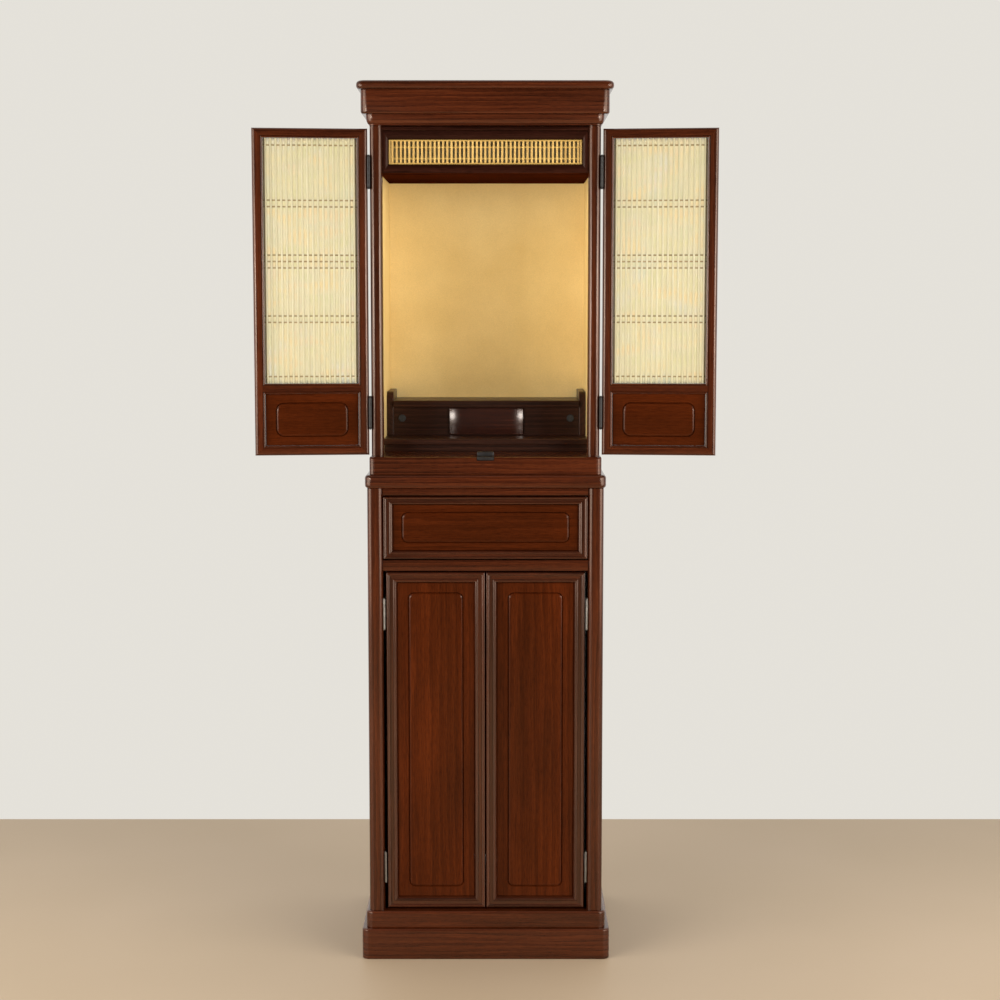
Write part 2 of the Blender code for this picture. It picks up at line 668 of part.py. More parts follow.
def build_small_drawer(z, tray_half, tray_z):
    half = SMALL_WIDTH / 2
    flatten = SMALL_BOW / SMALL_BOW_LENGTH
    outline = round_front((-half, half), APRON - SMALL_PROUD, APRON - SEAT, SMALL_BOW_LENGTH, flatten)
    upright("small_drawer_front", outline, z, WOOD_PANEL)
    y = (APRON, LINING_FACE - SMALL_TRAY_BACK_GAP)
    tray = box("small_drawer_tray", (-tray_half, tray_half), y, tray_z, INSIDE_WOOD)
    well = tray_half - SMALL_WALL
    hollow(tray, (-well, well), (y[0] + SMALL_WALL, y[1] - SMALL_WALL), (tray_z[0] + SMALL_WALL, z[1]))


def build_screens():
    z = (DECK_TOP + SCREEN_UNDER, UP_TOP - SCREEN_OVER)
    for side, word in ((-1, "left"), (1, "right")):
        line = hinge_line("screen_line_" + word, side * SCREEN_LINE[0], SCREEN_LINE[1], side * SCREEN_OPEN)
        build_screen(word, side, line, z)
        pin = (side * SCREEN_LINE[0], SCREEN_LINE[1])
        for place, span in hinge_spans(z):
            name = f"screen_hinge_{word}_{place}"
            hinge(name, pin, side, SCREEN_PIN_OFFSET, SCREEN_PIN_RADIUS, SCREEN_LEAF, span, BLACK_METAL)


def build_screen(word, side, line, z):
    """Make one screen door about its hinge line, as it lies when shut, its inner face backwards."""
    x = mirrored(side, -SCREEN_PIN_OFFSET, SCREEN_MEETING / 2 - SCREEN_LINE[0])
    middle = -(SCREEN_CLOSING_GAP + SCREEN_THICK) / 2
    section = screen_section(SCREEN_FRAME, SCREEN_THICK, SCREEN_EDGE)
    share = SCREEN_RAIL / SCREEN_FRAME
    frame = mitred_frame("screen_frame_" + word, x, z, section, share, middle, WOOD, line)
    bar_low = z[0] + SCREEN_RAIL + SCREEN_PANEL_HEIGHT
    bar_z = (bar_low, bar_low + MIDDLE_BAR)
    bar_x = (x[0] + SCREEN_FRAME / 2, x[1] - SCREEN_FRAME / 2)
    cut_away(frame, cross_bar("screen_bar_" + word, bar_x, bar_z, middle, line), "UNION")
    opening = (x[0] + SCREEN_FRAME + SEAT, x[1] - SCREEN_FRAME - SEAT)
    panel_z = (z[0] + SCREEN_RAIL + SEAT, bar_z[0] - SEAT)
    face = middle + SCREEN_PANEL_THICK / 2
    grooved_panel("screen_panel_" + word, opening, panel_z, face, -SCREEN_PANEL_THICK, SCREEN_GROOVE, line)
    screen_z = (bar_z[1] + SEAT, z[1] - SCREEN_RAIL - SEAT)
    carried("screen_backing_" + word, barred_section(screen_z, middle), opening, SCREEN_CLOTH, line)
    slats = middle + BAR_THICK + SEAT
    y = (slats, slats + SLAT_THICK)
    slat_screen("screen_slats_" + word, opening, screen_z, y, SLATS, SLAT, SLAT_RAIL, line)


def cross_bar(name, x, z, middle, line):
    """Make the bar between the screen and the panel, sloped along its four long edges."""
    half = SCREEN_THICK / 2 - SEAT
    inner = half - SCREEN_EDGE
    section = [(-inner, z[0]), (-half, z[0] + SCREEN_EDGE), (-half, z[1] - SCREEN_EDGE), (-inner, z[1])]
    section += [(inner, z[1]), (half, z[1] - SCREEN_EDGE), (half, z[0] + SCREEN_EDGE), (inner, z[0])]
    return carried(name, [(middle + y, height) for y, height in section], x, WOOD, line)


def barred_section(z, face):
    """Return the section of a thin sheet with slender bars across its inner face."""
    middle = (z[0] + z[1]) / 2
    low = z[0] + BAR_END
    high = z[1] - BAR_END
    heights = [low]
    for centre, count in (((low + middle) / 2, 2), (middle, 3), ((middle + high) / 2, 2)):
        heights += [centre + BAR_PITCH * (i - (count - 1) / 2) for i in range(count)]
    heights.append(high)
    section = [(face, z[0])]
    for height in heights:
        bar = (height - BAR_HEIGHT / 2, height + BAR_HEIGHT / 2)
        section += [(face, bar[0]), (face + BAR_THICK, bar[0]), (face + BAR_THICK, bar[1]), (face, bar[1])]
    return section + [(face, z[1]), (face - CLOTH_THICK, z[1]), (face - CLOTH_THICK, z[0])]


def build_cornice():
    levels = [(FOOT_COVE, UP_TOP), (FOOT_COVE * 0.6, UP_TOP + FOOT_HEIGHT * 0.15)]
    levels += [(FOOT_COVE * 0.2, UP_TOP + FOOT_HEIGHT * 0.4), (0.0, FOOT_TOP - SEAT)]
    moulded_board("cornice_foot", UP_WIDTH, SHRINE_FRONT, FOOT_OVERHANG, levels)
    levels = eased(FOOT_TOP, FASCIA_TOP - SEAT, FASCIA_EDGE, FINE_EDGE)
    fascia = moulded_board("cornice_fascia", UP_WIDTH, SHRINE_FRONT, FASCIA_OVERHANG, levels)
    half = UP_WIDTH / 2 + FASCIA_OVERHANG - FASCIA_WALL
    well_y = (SHRINE_FRONT - FASCIA_OVERHANG + FASCIA_WALL, BACK - FASCIA_WALL)
    hollow(fascia, (-half, half), well_y, (FOOT_TOP - FASCIA_WALL, FASCIA_TOP + FASCIA_WALL))
    levels = eased(FASCIA_TOP, CAP_TOP, CAP_EDGE, CAP_EDGE)
    moulded_board("cornice_cap", UP_WIDTH, SHRINE_FRONT, CAP_OVERHANG, levels)


def main():
    clear_scene()
    build_base()
    build_low_case()
    build_drawer()
    build_low_doors()
    build_waist()
    build_up_case()
    build_transom()
    build_stage()
    build_screens()
    build_cornice()


main()
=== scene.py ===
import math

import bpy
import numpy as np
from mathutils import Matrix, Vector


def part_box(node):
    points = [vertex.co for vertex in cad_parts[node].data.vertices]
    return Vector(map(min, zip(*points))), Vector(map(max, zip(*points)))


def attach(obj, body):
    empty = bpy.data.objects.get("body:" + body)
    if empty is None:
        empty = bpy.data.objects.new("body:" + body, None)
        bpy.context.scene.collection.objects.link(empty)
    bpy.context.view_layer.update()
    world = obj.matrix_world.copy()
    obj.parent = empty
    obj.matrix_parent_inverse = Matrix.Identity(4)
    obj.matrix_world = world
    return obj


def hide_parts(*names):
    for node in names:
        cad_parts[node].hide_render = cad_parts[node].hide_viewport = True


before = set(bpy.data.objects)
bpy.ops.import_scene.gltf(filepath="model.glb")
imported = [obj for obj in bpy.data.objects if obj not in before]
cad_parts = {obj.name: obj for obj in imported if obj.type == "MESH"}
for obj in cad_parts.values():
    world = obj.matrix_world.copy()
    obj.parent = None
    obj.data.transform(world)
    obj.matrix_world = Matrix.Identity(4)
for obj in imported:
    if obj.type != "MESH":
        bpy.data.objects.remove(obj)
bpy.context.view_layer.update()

# The looks of a household altar cabinet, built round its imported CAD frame.
# Lengths are in metres. Every new piece is a surface worked out with numpy, in the cabinet's own
# frame, and each face corner carries a "grain" vector: the way along the wood's fibres, then the two
# ways across them. The materials draw the figure of the wood from it.

scene = bpy.context.scene
draw = np.random.default_rng(12)

# The two sides, with the sign of X, and each axis as way, side and up
SIDES = (("left", -1), ("right", 1))
AXES = {"x": np.eye(3)[[0, 1, 2]], "z": np.eye(3)[[2, 0, 1]]}

# Camera
LENS = 68.4
SENSOR = 36.0
CAMERA_AT = (0.031, -4.231, 1.423)
CAMERA_PITCH = 90 - 5.966

# Shared edges and steps
SEAT = 0.0003
SHARP_ANGLE = 32
EASE_STEPS = 3
CORNER_STEPS = 8
LEAST_EDGE = 1e-9
LEAST_FOLD = 0.3

# Cornice, waist and base boards
PLAN_CORNER = 0.015
PLAN_BACK_CORNER = 0.0006
HOLE_CORNER = 0.0005
EASED_STEPS = 6
FOOT_COVE = 0.006
COVE_STEPS = 8
COVE_LIP = 0.002
FASCIA_WALL = 0.018
PLINTH_WALL = 0.022
GRAIN_STEP = 0.002

# Posts and rails
POST_CORNERS = (("lower", 0.011), ("upper", 0.009))
POST_BACK_CORNER = 0.0008
RAIL_EDGE = 0.0022

# Frames and panels
FRAME_BACK = -0.183
FRAME_THICK = 0.022
LOW_STILE = 0.0235
DRAWER_STILE = 0.0206
DRAWER_RAIL = 0.018

# The frames' section, in shares of its width and thickness. Each bead: centre, half width, height.
BEAD_BASE = 0.865
BEADS = ((0.165, 0.150, 0.135), (0.735, 0.125, 0.115))
BEAD_SAG = 0.012
BEAD_SPAN = (0.015, 0.86)
BEAD_POINTS = 58
FRAME_SIDE = 0.80
FRAME_FALL = ((0.885, 0.845), (0.92, 0.77), (0.96, 0.66), (0.99, 0.56), (1.0, 0.50), (1.0, 0.0))

# Panels, the section of their cut line, and its insets at the sides and ends and corner radius
PANEL_CORNER = 0.0004
PANEL_EASE = 0.0006
GROOVE_MARGIN = 0.0036
GROOVE_ACROSS = np.array([-2.7, -2.0, -1.3, -1.0, -0.7, 0.1, 0.8, 1.6, 2.3, 2.8]) / 1000
GROOVE_SINK = np.array([0.0, 1.7, 3.3, 3.5, 3.3, 1.0, 0.74, 0.44, 0.19, 0.0]) / 1000
DOOR_GROOVE = (0.025, 0.023, 0.011)
DRAWER_GROOVE = (0.020, 0.018, 0.011)
SCREEN_GROOVE = (0.024, 0.021, 0.015)

# Screen doors, measured from their hinge line as they lie when shut
SCREEN_LINE = (0.246, -0.177)
SCREEN_OPEN = 174.0
SCREEN_X = (0.0020, 0.2445)
SCREEN_Z = (1.0962, 1.785)
SCREEN_MIDDLE = -0.0125
SCREEN_HALF = 0.011
SCREEN_STILE = 0.0222
SCREEN_RAIL = 0.0205
SCREEN_ROUND = 0.0065
SCREEN_BEAD = 0.0046
SCREEN_BEAD_SINK = 0.0030
CROWN_SEAT = 0.0004
CROWN_QUIRK = 0.0007
CROWN_FOOT = 0.0010
CROWN_RISE = 0.0023
CROWN_CENTRE = 0.56
CROWN_REACH = 0.44
CROWN_STEPS = 12
MIDDLE_BAR = (1.2277, 1.2492)
BAR_SHY = 0.0001
BAR_LAP = 0.0002
PANEL_HALF = 0.004
PANEL_PLACE = (0.5, 0.20, -1.17)
SLATS = 18
SLAT_WIDTH = 0.0048
SLAT_THICK = 0.0020
SLAT_RADII = np.array([0.0019, 0.0019, 0.0005, 0.0005])
SLAT_EDGE = 0.0006
CROSS_ROUND = 0.0006
CROSS_BAR = 0.0030
CROSS_THICK = 0.0011
CROSS_END = 0.0145
CROSS_PITCH = 0.0135
CLOTH_COLUMNS = 24
CLOTH_ROWS = 60
CLOTH_BEHIND = 0.0009
CLOTH_SLACK = 0.0002
CLOTH_THICK = 0.0005

# Hinges: the pin's place, the barrel's radius, how far it stops short, and the leaf's sides
SCREEN_HINGE = (SCREEN_LINE, 0.0034, 0.003, (0.2443, 0.2455))
LOWER_HINGE = ((0.2165, -0.2045), 0.0017, 0.0025, (0.2180, 0.2192))
LEAF_EDGE = 0.0004
DOOR_LEAF_X = (0.0009, 0.0019)
DOOR_LEAF_Y = (-0.0205, -0.0045)
DOOR_LEAF_EDGE = 0.0003
BARREL_SIDES = 28
KNUCKLES = 5
KNUCKLE_EASE = 0.0005
KNUCKLE_GROOVE = 0.0004
BALL_RADIUS = 0.82
BALL_BELOW = 0.55
BALL_STEPS = 6

# Frame and grille over the opening
GRILLE_SLATS = 45
GRILLE_SLAT = 0.0040
GRILLE_BORDER = 0.0034
GRILLE_BORDER_ROUND = 0.0007
GRILLE_SLAT_FRONT = 0.0002
GRILLE_SLAT_BACK = 0.0013
GRILLE_SLAT_ROUND = 0.0011
GRILLE_LAP = 0.6
GRILLE_BARS = (1.7235, 1.7470)
GRILLE_BAR_FRONT = 0.0012
GRILLE_BAR_HALF = 0.0015
GRILLE_BAR_ROUND = 0.0005
TRANSOM_DRAFT = 0.0018
TRANSOM_EDGE = 0.001
TRANSOM_FLAT = 0.30
TRANSOM_FALL = 0.38
TRANSOM_STEPS = 11

# Stage
NOSING = 0.013
TOE_DEPTH = 0.015
SLAB_EDGE = 0.004
SLAB_STEPS = 8
LOWER_EASE = 0.0015
CHEEK_RADIUS = 0.020
CHEEK_STEPS = 12
CHEEK_EDGE = 0.0015
COVER_SIDES = 32
COVER_SHARES = ((1, 0), (1, 0.55), (0.96, 0.8), (0.86, 1), (0.62, 1), (0.56, 0.72), (0.05, 0.72))
BOW_LENGTH = 0.030
BOW_DEPTH = 0.0042
BOW_STEPS = 14
BOW_EDGE = 0.0012

# Catch of the screen doors
CATCH_SINK = 0.0004
CATCH_CORNER = 0.0008
CATCH_EDGE = 0.0006
STOP_DEPTH = 0.012
STOP_FOOT = 0.0010
STOP_CORNER = 0.0018
STOP_EDGE = 0.0014


def span(node):
    """The low and high bounds of a CAD node on each axis, as three pairs."""
    low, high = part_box(node)
    return tuple(zip(low, high))


# Shapes: points, and batches of faces, each face's corners with their grain vectors


def volume(points, batches):
    """The signed volume inside closed faces: a sixth of the sum of a . (b x c) over each fan."""
    total = 0.0
    for index, _ in batches:
        a = points[index[:, :1]]
        b = points[index[:, 1:-1]]
        c = points[index[:, 2:]]
        total += float((a * np.cross(b, c)).sum())
    return total / 6


def outwards(points, batches):
    """Turn every face of a closed shape to point out of it."""
    if volume(points, batches) < 0:
        batches = [(index[:, ::-1], grain[:, ::-1]) for index, grain in batches]
    return points, batches


def together(*shapes):
    """Lay several shapes into one."""
    points = []
    batches = []
    first = 0
    for some, faces in shapes:
        points.append(some)
        batches += [(index + first, grain) for index, grain in faces]
        first += len(some)
    return np.concatenate(points), batches


def lattice(rows, columns, grain, closed):
    """Quads between the neighbours of a grid of points whose columns close on themselves.

    Row r, column c lies at index r * columns + c. The grain has one more column than the points.
    """
    r, c = np.meshgrid(np.arange(rows if closed else rows - 1), np.arange(columns), indexing="ij")
    corners = [(r, c), (r, c + 1), (r + 1, c + 1), (r + 1, c)]
    index = np.stack([(i % rows) * columns + j % columns for i, j in corners], -1)
    values = np.stack([grain[i % rows, j] for i, j in corners], -2)
    return index.reshape(-1, 4), values.reshape(-1, 4, 3)


def shell(rings, grain, closed=False, lid_grain=None):
    """Join rings of points with walls. The last ring meets the first, or both get a flat lid."""
    count, around = rings.shape[:2]
    if lid_grain is None:
        lid_grain = grain
    if grain.shape[1] == around:
        grain = np.concatenate([grain, grain[:, :1]], 1)
    points = rings.reshape(-1, 3)
    batches = [lattice(count, around, grain, closed)]
    if not closed:
        low = np.arange(around)[::-1]
        batches.append((low[None], lid_grain[0, low][None]))
        high = np.arange(around)
        batches.append((high[None] + (count - 1) * around, lid_grain[-1, high][None]))
    return outwards(points, batches)


def any_shift():
    """A seeded place in the log, so that no two boards share a figure."""
    return draw.uniform((-2.0, -0.30, -0.30), (2.0, 0.30, 0.30))


def rounded(u, v, radius, steps=CORNER_STEPS):
    """A rectangle with quarter-round corners: each corner's centre plus radius times (cos, sin)."""
    radius = np.broadcast_to(radius, 4)[:, None]
    turns = np.radians(np.arange(4)[:, None] * 90 + np.linspace(0, 90, steps + 1))
    side = np.array([u[1], u[0], u[0], u[1]])[:, None] - radius * np.array([1, -1, -1, 1])[:, None]
    level = np.array([v[1], v[1], v[0], v[0]])[:, None] - radius * np.array([1, 1, -1, -1])[:, None]
    return np.stack([side + radius * np.cos(turns), level + radius * np.sin(turns)], -1).reshape(-1, 2)


def drawn_in(outline, distance):
    """Move each point inwards: minus distance times (n + m) / (1 + n . m), its edges' normals."""
    edge = np.roll(outline, -1, 0) - outline
    edge = edge / np.maximum(np.linalg.norm(edge, axis=1, keepdims=True), LEAST_EDGE)
    after = np.stack([edge[:, 1], -edge[:, 0]], -1)
    before = np.roll(after, 1, 0)
    fold = np.maximum(1 + (after * before).sum(1, keepdims=True), LEAST_FOLD)
    return outline - distance * (after + before) / fold


def carried(section, axes, start, end, edge=0.0, slopes=(0.0, 0.0), at=(0, 0, 0)):
    """Carry a section (u, v) straight: at + t * way + u * side + v * up, t from start to end.

    Axes are way, side and up, or the letter of the axis that the way runs along. A slope adds
    slope times u to an end, for a mitre. An edge eases both ends by a quarter round.
    """
    way, side, up = AXES[axes] if isinstance(axes, str) else np.array(axes, float)
    turns = np.radians(np.linspace(0, 90, EASE_STEPS + 1)) if edge else np.array([math.pi / 2])
    insets = edge * (1 - np.sin(turns))
    gaps = edge * (1 - np.cos(turns)) if edge else np.zeros(1)
    insets = np.concatenate([insets, insets[::-1]])
    places = np.concatenate([start + gaps, end - gaps[::-1]])
    tilts = np.repeat(slopes, len(turns))
    flat = np.stack([drawn_in(section, q) if q else section for q in insets])
    t = places[:, None] + tilts[:, None] * flat[..., 0]
    local = np.concatenate([t[..., None], flat], -1)
    rings = np.array(at, float) + local @ np.stack([way, side, up])
    return shell(rings, local + any_shift())


def turned(profile, centre, axis, around):
    """Turn a profile of (radius, height) about an axis through centre."""
    axis = np.array(axis, float)
    side = np.array((0.0, 0.0, 1.0)) if abs(axis[2]) < 0.5 else np.array((1.0, 0.0, 0.0))
    other = np.cross(axis, side)
    turns = np.linspace(0, 2 * math.pi, around, endpoint=False)
    ring = np.cos(turns)[:, None] * side + np.sin(turns)[:, None] * other
    profile = np.array(profile, float)
    rings = np.array(centre, float) + profile[:, :1, None] * ring + profile[:, 1:, None] * axis
    return shell(rings, rings.copy())


def regrained(shape, order):
    """Swap the parts of a shape's grain, to lay its fibres along another of its axes."""
    points, batches = shape
    return points, [(index, grain[..., order]) for index, grain in batches]


def piece(name, shape, body, slot, finish, *nodes):
    """Put a shape into the scene on its body, in place of its CAD nodes; its record slot is not used.
    """
    points, batches = shape
    mesh = bpy.data.meshes.new(name)
    mesh.from_pydata(points.tolist(), [], [face for index, _ in batches for face in index.tolist()])
    grain = np.concatenate([values.reshape(-1, 3) for _, values in batches])
    layer = mesh.attributes.new("grain", "FLOAT_VECTOR", "CORNER")
    layer.data.foreach_set("vector", grain.astype(np.float32).ravel())
    mesh.shade_smooth()
    mesh.set_sharp_from_angle(angle=math.radians(SHARP_ANGLE))
    made = bpy.data.objects.new(name, mesh)
    mesh.materials.append(finish)
    scene.collection.objects.link(made)
    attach(made, body)
    if nodes:
        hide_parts(*nodes)
    return made


# Materials


def add(tree, kind, settings=None, inputs=None):
    """Add a node, set its options, and set or link its inputs."""
    made = tree.nodes.new(kind)
    for key, value in (settings or {}).items():
        setattr(made, key, value)
    for key, value in (inputs or {}).items():
        if isinstance(value, bpy.types.NodeSocket):
            tree.links.new(value, made.inputs[key])
        else:
            made.inputs[key].default_value = value
    return made


def new_finish(name, roughness, metallic=0.0, coat=0.0, coat_roughness=0.1, specular=0.5):
    """A new material, its node tree and its shader, with the plain values set."""
    made = bpy.data.materials.new(name)
    made.use_nodes = True
    tree = made.node_tree
    shader = tree.nodes["Principled BSDF"]
    shader.inputs["Roughness"].default_value = roughness
    shader.inputs["Metallic"].default_value = metallic
    shader.inputs["Coat Weight"].default_value = coat
    shader.inputs["Coat Roughness"].default_value = coat_roughness
    shader.inputs["Specular IOR Level"].default_value = specular
    return made, tree, shader


def scaled(tree, source, scale):
    """A vector times a scale on each axis."""
    return add(tree, "ShaderNodeMapping", None, {"Vector": source, "Scale": scale}).outputs["Vector"]


def noise(tree, source, scale=1.0, detail=2.0, roughness=0.55):
    """Fractal noise at a vector."""
    inputs = {"Vector": source, "Scale": scale, "Detail": detail, "Roughness": roughness}
    return add(tree, "ShaderNodeTexNoise", None, inputs).outputs["Fac"]


def ramp(tree, factor, stops):
    """A colour ramp through (place, colour) stops."""
    made = add(tree, "ShaderNodeValToRGB", None, {"Fac": factor})
    row = made.color_ramp.elements
    while len(row) < len(stops):
        row.new(0.5)
    for element, (place, colour) in zip(row, stops):
        element.position = place
        element.color = (*colour, 1.0)
    return made.outputs["Color"]


def mixed(tree, factor, a, b, blend="MIX"):
    """Two colours mixed or multiplied by a factor, each a value or a socket."""
    made = add(tree, "ShaderNodeMix", {"data_type": "RGBA", "blend_type": blend})
    for socket, value in ((made.inputs[0], factor), (made.inputs[6], a), (made.inputs[7], b)):
        if isinstance(value, bpy.types.NodeSocket):
            tree.links.new(value, socket)
        elif socket == made.inputs[0]:
            socket.default_value = value
        else:
            socket.default_value = (*value, 1.0)
    return made.outputs[2]


def spread(tree, value, low, high):
    """A value from 0 to 1 laid out from low to high."""
    inputs = {"Value": value, "To Min": low, "To Max": high}
    return add(tree, "ShaderNodeMapRange", None, inputs).outputs[0]


def bump(tree, shader, height, strength, distance):
    """Bend a shader's normal by a height."""
    inputs = {"Height": height, "Strength": strength, "Distance": distance}
    bent = add(tree, "ShaderNodeBump", None, inputs).outputs["Normal"]
    tree.links.new(bent, shader.inputs["Normal"])


# Room and lights
FLOOR_SIDE = 4.0
FLOOR_FRONT = 6.0
FLOOR_BACK = 0.90
BACKDROP = (0.780, 0.755, 0.700)
ROOM_TONES = (
    (0.00, (0.030, 0.030, 0.030)),
    (0.22, (0.060, 0.058, 0.055)),
    (0.42, (0.520, 0.510, 0.490)),
    (0.60, (0.950, 0.930, 0.890)),
)

# Each softbox: its name, its place on the right, its target, its size, power and colour
SOFTBOXES = (
    ("side_softbox", (2.6, -1.75, 1.45), (0, 0, 1.45), (2.2, 2.2), 82.0, (1.0, 0.95, 0.89)),
    ("front_softbox", (2.5, -4.0, 1.45), (0, 0, 1.2), (1.6, 0.5), 66.0, (1.0, 0.97, 0.93)),
)
SHRINE_GLOW = ((0, -0.04, 1.690), (0, -0.04, 1.0), (0.30, 0.12), 0.30, (1.0, 0.93, 0.80))

# Wood: stretches of the figure along and across the fibres, and tones it is multiplied by
RING_STRETCH = (0.10, 1, 1)
RING_BEND = 5.5
STREAK_STRETCH = (6, 360, 360)
PORE_STRETCH = (60, 1500, 1500)
CLOUD_STRETCH = (2.2, 9, 9)
STREAK_SHARE = 0.55
CLOUD_TONES = ((0.30, (0.70, 0.72, 0.78)), (0.70, (1.28, 1.18, 1.12)))
PORE_TONES = ((0.36, (0.45, 0.42, 0.42)), (0.50, (1.0, 1.0, 1.0)))
PORE_SHARE = 0.7
PORE_BUMP = 0.4
PORE_DEPTH = 0.00005
COAT_ROUGHNESS = 0.18
AMBER = (1.0, 0.78, 0.64, 1.0)
TURNS = {"x": (0, 0, 0), "y": (0, 0, -math.pi / 2), "z": (0, math.pi / 2, 0)}

# Cloth, gold leaf and floor
THREADS = 260.0
THREAD_BEND = 0.4
CLOTH_CLOUDS = (
    (0.30, (0.860, 0.815, 0.620)),
    (0.50, (0.900, 0.840, 0.560)),
    (0.68, (0.860, 0.845, 0.700)),
)
CLOTH_STAINS = (
    (0.34, (1.06, 0.97, 0.88)),
    (0.50, (1.0, 1.0, 1.0)),
    (0.66, (0.95, 0.98, 0.92)),
)
THREAD_TONES = ((0.20, (0.84, 0.83, 0.80)), (0.80, (1.05, 1.05, 1.04)))
GOLD_CLOUDS = ((0.30, (0.850, 0.640, 0.270)), (0.70, (0.940, 0.735, 0.340)))
GOLD_FLECKS = ((0.35, (0.90, 0.90, 0.88)), (0.65, (1.06, 1.05, 1.02)))
FLOOR_TONES = ((0.3, (0.440, 0.335, 0.220)), (0.7, (0.470, 0.360, 0.245)))


def fibres(tree, along):
    """A vector whose X runs along the fibres: the piece's own grain, or the object's X, Y or Z."""
    if along == "grain":
        return add(tree, "ShaderNodeAttribute", {"attribute_name": "grain"}).outputs["Vector"]
    place = add(tree, "ShaderNodeTexCoord").outputs["Object"]
    inputs = {"Vector": place, "Rotation": TURNS[along]}
    return add(tree, "ShaderNodeMapping", None, inputs).outputs["Vector"]


def wood(name, tones, along="grain", roughness=(0.15, 0.25), coat=0.0, specular=0.5, rings=30.0):
    """Lacquered open-grained wood: growth rings, long streaks, fine pores and broad clouding."""
    made, tree, shader = new_finish(name, roughness[0], 0.0, coat, COAT_ROUGHNESS, specular)
    shader.inputs["Specular Tint"].default_value = AMBER
    source = fibres(tree, along)
    stretched = scaled(tree, source, RING_STRETCH)
    inputs = {"Vector": stretched, "Scale": rings, "Distortion": RING_BEND}
    inputs |= {"Detail": 3.0, "Detail Scale": 1.3, "Detail Roughness": 0.6}
    settings = {"wave_type": "RINGS", "rings_direction": "X", "wave_profile": "SAW"}
    growth = add(tree, "ShaderNodeTexWave", settings, inputs).outputs["Fac"]
    streak = noise(tree, scaled(tree, source, STREAK_STRETCH), detail=3.0, roughness=0.6)
    pores = noise(tree, scaled(tree, source, PORE_STRETCH), detail=1.0, roughness=0.5)
    cloud = noise(tree, scaled(tree, source, CLOUD_STRETCH), roughness=0.5)
    dark, middle, light = tones
    body = ramp(tree, growth, [(0.0, dark), (0.45, middle), (0.85, light), (1.0, dark)])
    run = ramp(tree, streak, [(0.30, dark), (0.52, middle), (0.72, light)])
    colour = mixed(tree, STREAK_SHARE, body, run)
    colour = mixed(tree, 1.0, colour, ramp(tree, cloud, CLOUD_TONES), "MULTIPLY")
    colour = mixed(tree, PORE_SHARE, colour, ramp(tree, pores, PORE_TONES), "MULTIPLY")
    tree.links.new(colour, shader.inputs["Base Color"])
    tree.links.new(spread(tree, streak, *roughness), shader.inputs["Roughness"])
    bump(tree, shader, pores, PORE_BUMP, PORE_DEPTH)
    return made


def gold_sheet(name):
    """Gold lining: a satin leaf with faint clouding and a very fine tooth."""
    made, tree, shader = new_finish(name, roughness=0.45, metallic=0.12)
    place = add(tree, "ShaderNodeTexCoord").outputs["Object"]
    cloud = noise(tree, place, scale=7.0, detail=3.0, roughness=0.6)
    tooth = noise(tree, place, scale=900.0, roughness=0.6)
    colour = ramp(tree, cloud, GOLD_CLOUDS)
    fleck = ramp(tree, tooth, GOLD_FLECKS)
    tree.links.new(mixed(tree, 0.8, colour, fleck, "MULTIPLY"), shader.inputs["Base Color"])
    tree.links.new(spread(tree, tooth, 0.40, 0.52), shader.inputs["Roughness"])
    bump(tree, shader, tooth, strength=0.20, distance=0.0001)
    return made


def slat_finish(name, tones, metallic):
    """Lacquered slats: long faint streaks along each slat, and no two slats quite alike."""
    made, tree, shader = new_finish(name, 0.38, metallic, coat=0.2, coat_roughness=0.2)
    source = fibres(tree, "grain")
    own = noise(tree, scaled(tree, source, (0.6, 22, 22)), detail=1.0)
    streak = noise(tree, scaled(tree, source, (9, 700, 700)))
    broad = ramp(tree, own, ((0.30, tones[0]), (0.70, tones[1])))
    fine = ramp(tree, streak, ((0.35, tones[0]), (0.65, tones[1])))
    tree.links.new(mixed(tree, 0.35, broad, fine), shader.inputs["Base Color"])
    tree.links.new(spread(tree, streak, 0.30, 0.44), shader.inputs["Roughness"])
    bump(tree, shader, streak, strength=0.15, distance=0.0002)
    return made


def screen_cloth_finish(name):
    """Thin pale cloth: warp and weft threads, with soft yellow, grey and peach clouding."""
    made, tree, shader = new_finish(name, 0.75)
    shader.inputs["Sheen Weight"].default_value = 0.25
    place = fibres(tree, "grain")
    inputs = {"Vector": place, "Scale": THREADS, "Distortion": THREAD_BEND}
    waves = []
    for direction in ("X", "Y"):
        settings = {"wave_type": "BANDS", "wave_profile": "SIN", "bands_direction": direction}
        waves.append(add(tree, "ShaderNodeTexWave", settings, inputs).outputs["Fac"])
    cloud = noise(tree, place, scale=11.0)
    stain = noise(tree, scaled(tree, place, (1, 1.7, 1)), scale=17.0)
    colour = ramp(tree, cloud, CLOTH_CLOUDS)
    colour = mixed(tree, 1.0, colour, ramp(tree, stain, CLOTH_STAINS), "MULTIPLY")
    threads = mixed(tree, 0.5, *waves)
    thread_tone = ramp(tree, threads, THREAD_TONES)
    tree.links.new(mixed(tree, 0.6, colour, thread_tone, "MULTIPLY"), shader.inputs["Base Color"])
    bump(tree, shader, threads, strength=0.35, distance=0.0003)
    return made


def metal(name, tones, roughness, metallic, scale):
    """Drawn metal or plain rubber: fine lines along the piece, and the faint smears of handling."""
    made, tree, shader = new_finish(name, roughness[0], metallic)
    place = add(tree, "ShaderNodeTexCoord").outputs["Object"]
    lines = noise(tree, scaled(tree, place, (scale, scale, scale / 12)))
    smear = noise(tree, place, scale=90.0, detail=3.0)
    stops = ((0.35, tones[0]), (0.65, tones[1]))
    colour = mixed(tree, 0.5, ramp(tree, lines, stops), ramp(tree, smear, stops))
    tree.links.new(colour, shader.inputs["Base Color"])
    tree.links.new(spread(tree, smear, *roughness), shader.inputs["Roughness"])
    bump(tree, shader, lines, strength=0.12, distance=0.0001)
    return made


